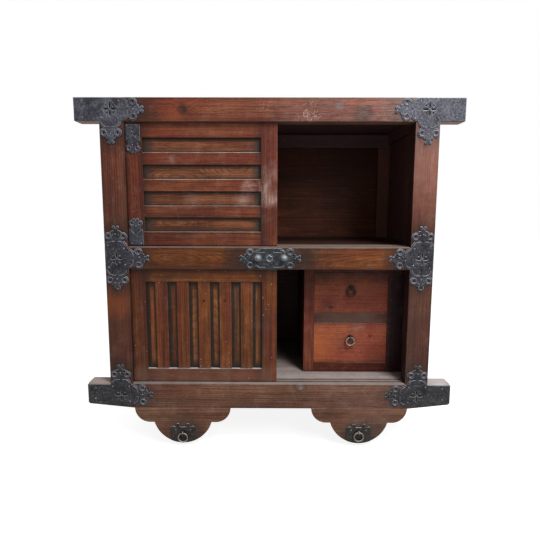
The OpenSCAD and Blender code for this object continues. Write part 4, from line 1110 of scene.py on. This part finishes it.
def centre_plate_work():
    ridges = Relief(IRON_Y)
    arm_ridges(ridges, PLATE_X - PLATE_ARM_START, PLATE_Z, 0, 30.25)
    arm_ridges(ridges, PLATE_X + PLATE_ARM_START, PLATE_Z, 180, 30.25)
    ridges.ridge(arc(BOSS_X, PLATE_Z, 12.6, 0, 350, 30), 0.9, 0.7, closed=True)
    for knob_x in KNOBS_X:
        ridges.ridge(arc(knob_x, PLATE_Z, 12.4, 0, 350, 30), 1.0, 0.7, closed=True)
    ridges.done("centre_plate_ridges", "case", RIDGE_IRON)
    nail_heads("centre_plate_nails", "case", IRON_Y, PLATE_NAILS, 1.9, 1.1)


STILE_CENTRE = -377.5
# The end of each door iron, the way it points and its length
DOOR_IRONS = ((935.0, -1, 80.0), (601.2, 1, 77.0))
DOOR_IRON_NAILS = (
    (-392.6, 930.6), (-366.6, 930.8), (-378.5, 880.0), (-389.5, 606.5), (-363.2, 606.7), (-377.5, 656.0),
)


def door_iron_work():
    ridges = Relief(DOOR_IRON_Y)
    for base_z, way, length in DOOR_IRONS:
        eye_z = base_z + way * (length - 14.8)
        for side in SIDES:
            ridges.ridge(arc(STILE_CENTRE + side * 10.7, eye_z, 5.6, 0, 340, 16), 0.9, 0.8, closed=True)
        peak = base_z + way * 27.5
        chevron = ((-15.5, 17), (-8, 8.5), (0, 0), (8, 8.5), (15.5, 17))
        ridges.ridge([(STILE_CENTRE + x, peak + way * z) for x, z in chevron], 1.0, 0.9)
    ridges.done("door_iron_ridges", "upper_front_door", RIDGE_IRON)
    nail_heads("door_iron_nails", "upper_front_door", DOOR_IRON_Y, DOOR_IRON_NAILS, 2.1, 1.2)


def bracket_plate_work():
    ridges = Relief(IRON_Y)
    places = []
    for x in (place / MM for place in BRACKETS_X):
        for side in SIDES:
            ridges.ridge(arc(x + side * 28.3, 57.8, 6.2, 20, 160, 10), 1.0, 0.8)
            ridges.ridge(arc(x + side * 14.8, 67.9, 4.6, 10, 170, 8), 1.0, 0.8)
            places.append((x + side * 22.0, 53.0))
        ridges.ridge([(x - 10 + step * 4, 61.5) for step in range(6)], 0.9, 0.7)
    ridges.done("bracket_plate_ridges", "case", SCROLL_IRON)
    nail_heads("bracket_plate_nails", "case", IRON_Y, places, 2.1, 1.2)


for iron_name, (flower_x, flower_z, arms) in IRON_ARMS.items():
    frame_irons(iron_name, flower_x, flower_z, arms)
centre_plate_work()
door_iron_work()
bracket_plate_work()

# Loose tongues that close the joints of the back boards

BOARD_JOINTS_Z = (0.30933, 0.42167, 0.713, 0.827)
TONGUE_SIZE = Vector((810.0, 4.0, 5.0)) * MM


def back_board_tongues():
    mesh = bmesh.new()
    for joint in BOARD_JOINTS_Z:
        place = Matrix.Translation((0.0, middle("back_boards").y, joint))
        bmesh.ops.create_cube(mesh, size=1.0, matrix=place @ Matrix.Diagonal((*TONGUE_SIZE, 1.0)))
    bmesh.ops.bevel(mesh, geom=mesh.edges[:], offset=0.4 * MM, segments=1, affect="EDGES")
    data = bpy.data.meshes.new("back_board_tongues")
    mesh.to_mesh(data)
    mesh.free()
    data.materials.append(nodes["back_boards"].data.materials[0])
    made = placed("back_board_tongues", data)
    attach(made, "case")


back_board_tongues()

# Floor, light and camera

FLOOR_HALF = 9.0
WHITE = (1.0, 1.0, 1.0, 1.0)


def studio_floor():
    """A floor that looks white, keeps the shadow and throws back little light."""
    corners = [(x * FLOOR_HALF, y * FLOOR_HALF, 0) for x, y in ((-1, -1), (1, -1), (1, 1), (-1, 1))]
    data = bpy.data.meshes.new("floor")
    data.from_pydata(corners, [], [(0, 1, 2, 3)])
    floor = placed("floor", data)
    t = Tree(bpy.data.materials.new("studio_floor"))
    shade = t.add("ShaderNodeBsdfDiffuse", {"Color": (0.5, 0.5, 0.5, 1.0)}).outputs[0]
    bounce = t.add("ShaderNodeBsdfDiffuse", {"Color": (0.35, 0.35, 0.35, 1.0)}).outputs[0]
    glow = t.add("ShaderNodeEmission", {"Color": WHITE, "Strength": 0.87}).outputs[0]
    lit = t.add("ShaderNodeAddShader", {0: shade, 1: glow}).outputs[0]
    chosen = t.add("ShaderNodeMixShader", {0: t.shown(), 1: bounce, 2: lit}).outputs[0]
    t.add("ShaderNodeOutputMaterial", {"Surface": chosen})
    data.materials.append(t.owner)


SKY_LOW = 0.11
SKY_HIGH = 0.27
SKY_BEHIND = 0.9


def studio_sky():
    """White where it shows, and a dim light that grows overhead and behind the chest."""
    world = bpy.data.worlds.new("studio")
    bpy.context.scene.world = world
    t = Tree(world)
    heading = t.split(t.add("ShaderNodeTexCoord").outputs["Generated"])
    overhead = t.spread(heading["Z"], 0.0, 1.0, SKY_LOW, SKY_HIGH)
    strength = t.plus(overhead, t.spread(heading["Y"], 0.0, 1.0, 0.0, SKY_BEHIND))
    ambient = t.add("ShaderNodeBackground", {"Color": WHITE, "Strength": strength}).outputs[0]
    white = t.add("ShaderNodeBackground", {"Color": WHITE, "Strength": 1.0}).outputs[0]
    chosen = t.add("ShaderNodeMixShader", {0: t.shown(), 1: ambient, 2: white}).outputs[0]
    t.add("ShaderNodeOutputWorld", {"Surface": chosen})


LIGHT_TARGET = Vector((0.0, -0.2, 0.55))


def softbox(name, place, width, height, power):
    """An area light that looks at the middle of the chest."""
    data = bpy.data.lights.new(name, "AREA")
    data.shape = "RECTANGLE"
    data.size = width
    data.size_y = height
    data.energy = power
    lamp = placed(name, data)
    lamp.location = place
    lamp.rotation_euler = (LIGHT_TARGET - Vector(place)).to_track_quat("-Z", "Y").to_euler()


# Camera: fitted to the front frame of the photograph
CAMERA_FROM_FACE = 1.2858
CAMERA_X = 0.0084
CAMERA_Z = 0.7035
CAMERA_PITCH = math.radians(7.56)
CAMERA_YAW = math.radians(-0.26)
CAMERA_ROLL = math.radians(0.14)
IMAGE_PIXELS = 540
FOCAL_PIXELS = 456.6
SENSOR = 36.0


def photo_camera():
    across, ahead = math.sin(CAMERA_YAW), math.cos(CAMERA_YAW)
    fall = math.cos(CAMERA_PITCH)
    forward = Vector((across * fall, ahead * fall, -math.sin(CAMERA_PITCH)))
    level_right = Vector((ahead, -across, 0.0))
    level_up = level_right.cross(forward)
    right = level_right * math.cos(CAMERA_ROLL) + level_up * math.sin(CAMERA_ROLL)
    turned = Matrix((right, right.cross(forward), -forward)).transposed().to_4x4()
    data = bpy.data.cameras.new("camera")
    data.sensor_width = SENSOR
    data.sensor_fit = "HORIZONTAL"
    data.lens = FOCAL_PIXELS / IMAGE_PIXELS * SENSOR
    camera = placed("camera", data)
    camera.matrix_world = Matrix.Translation((CAMERA_X, FACE_Y - CAMERA_FROM_FACE, CAMERA_Z)) @ turned
    bpy.context.scene.camera = camera


studio_floor()
studio_sky()
softbox("high_light", (0.95, -1.35, 2.35), 0.7, 0.5, 45.0)
softbox("low_light", (0.95, -2.0, 1.75), 0.7, 0.7, 15.0)
photo_camera()

view = bpy.context.scene.view_settings
view.view_transform = "Standard"
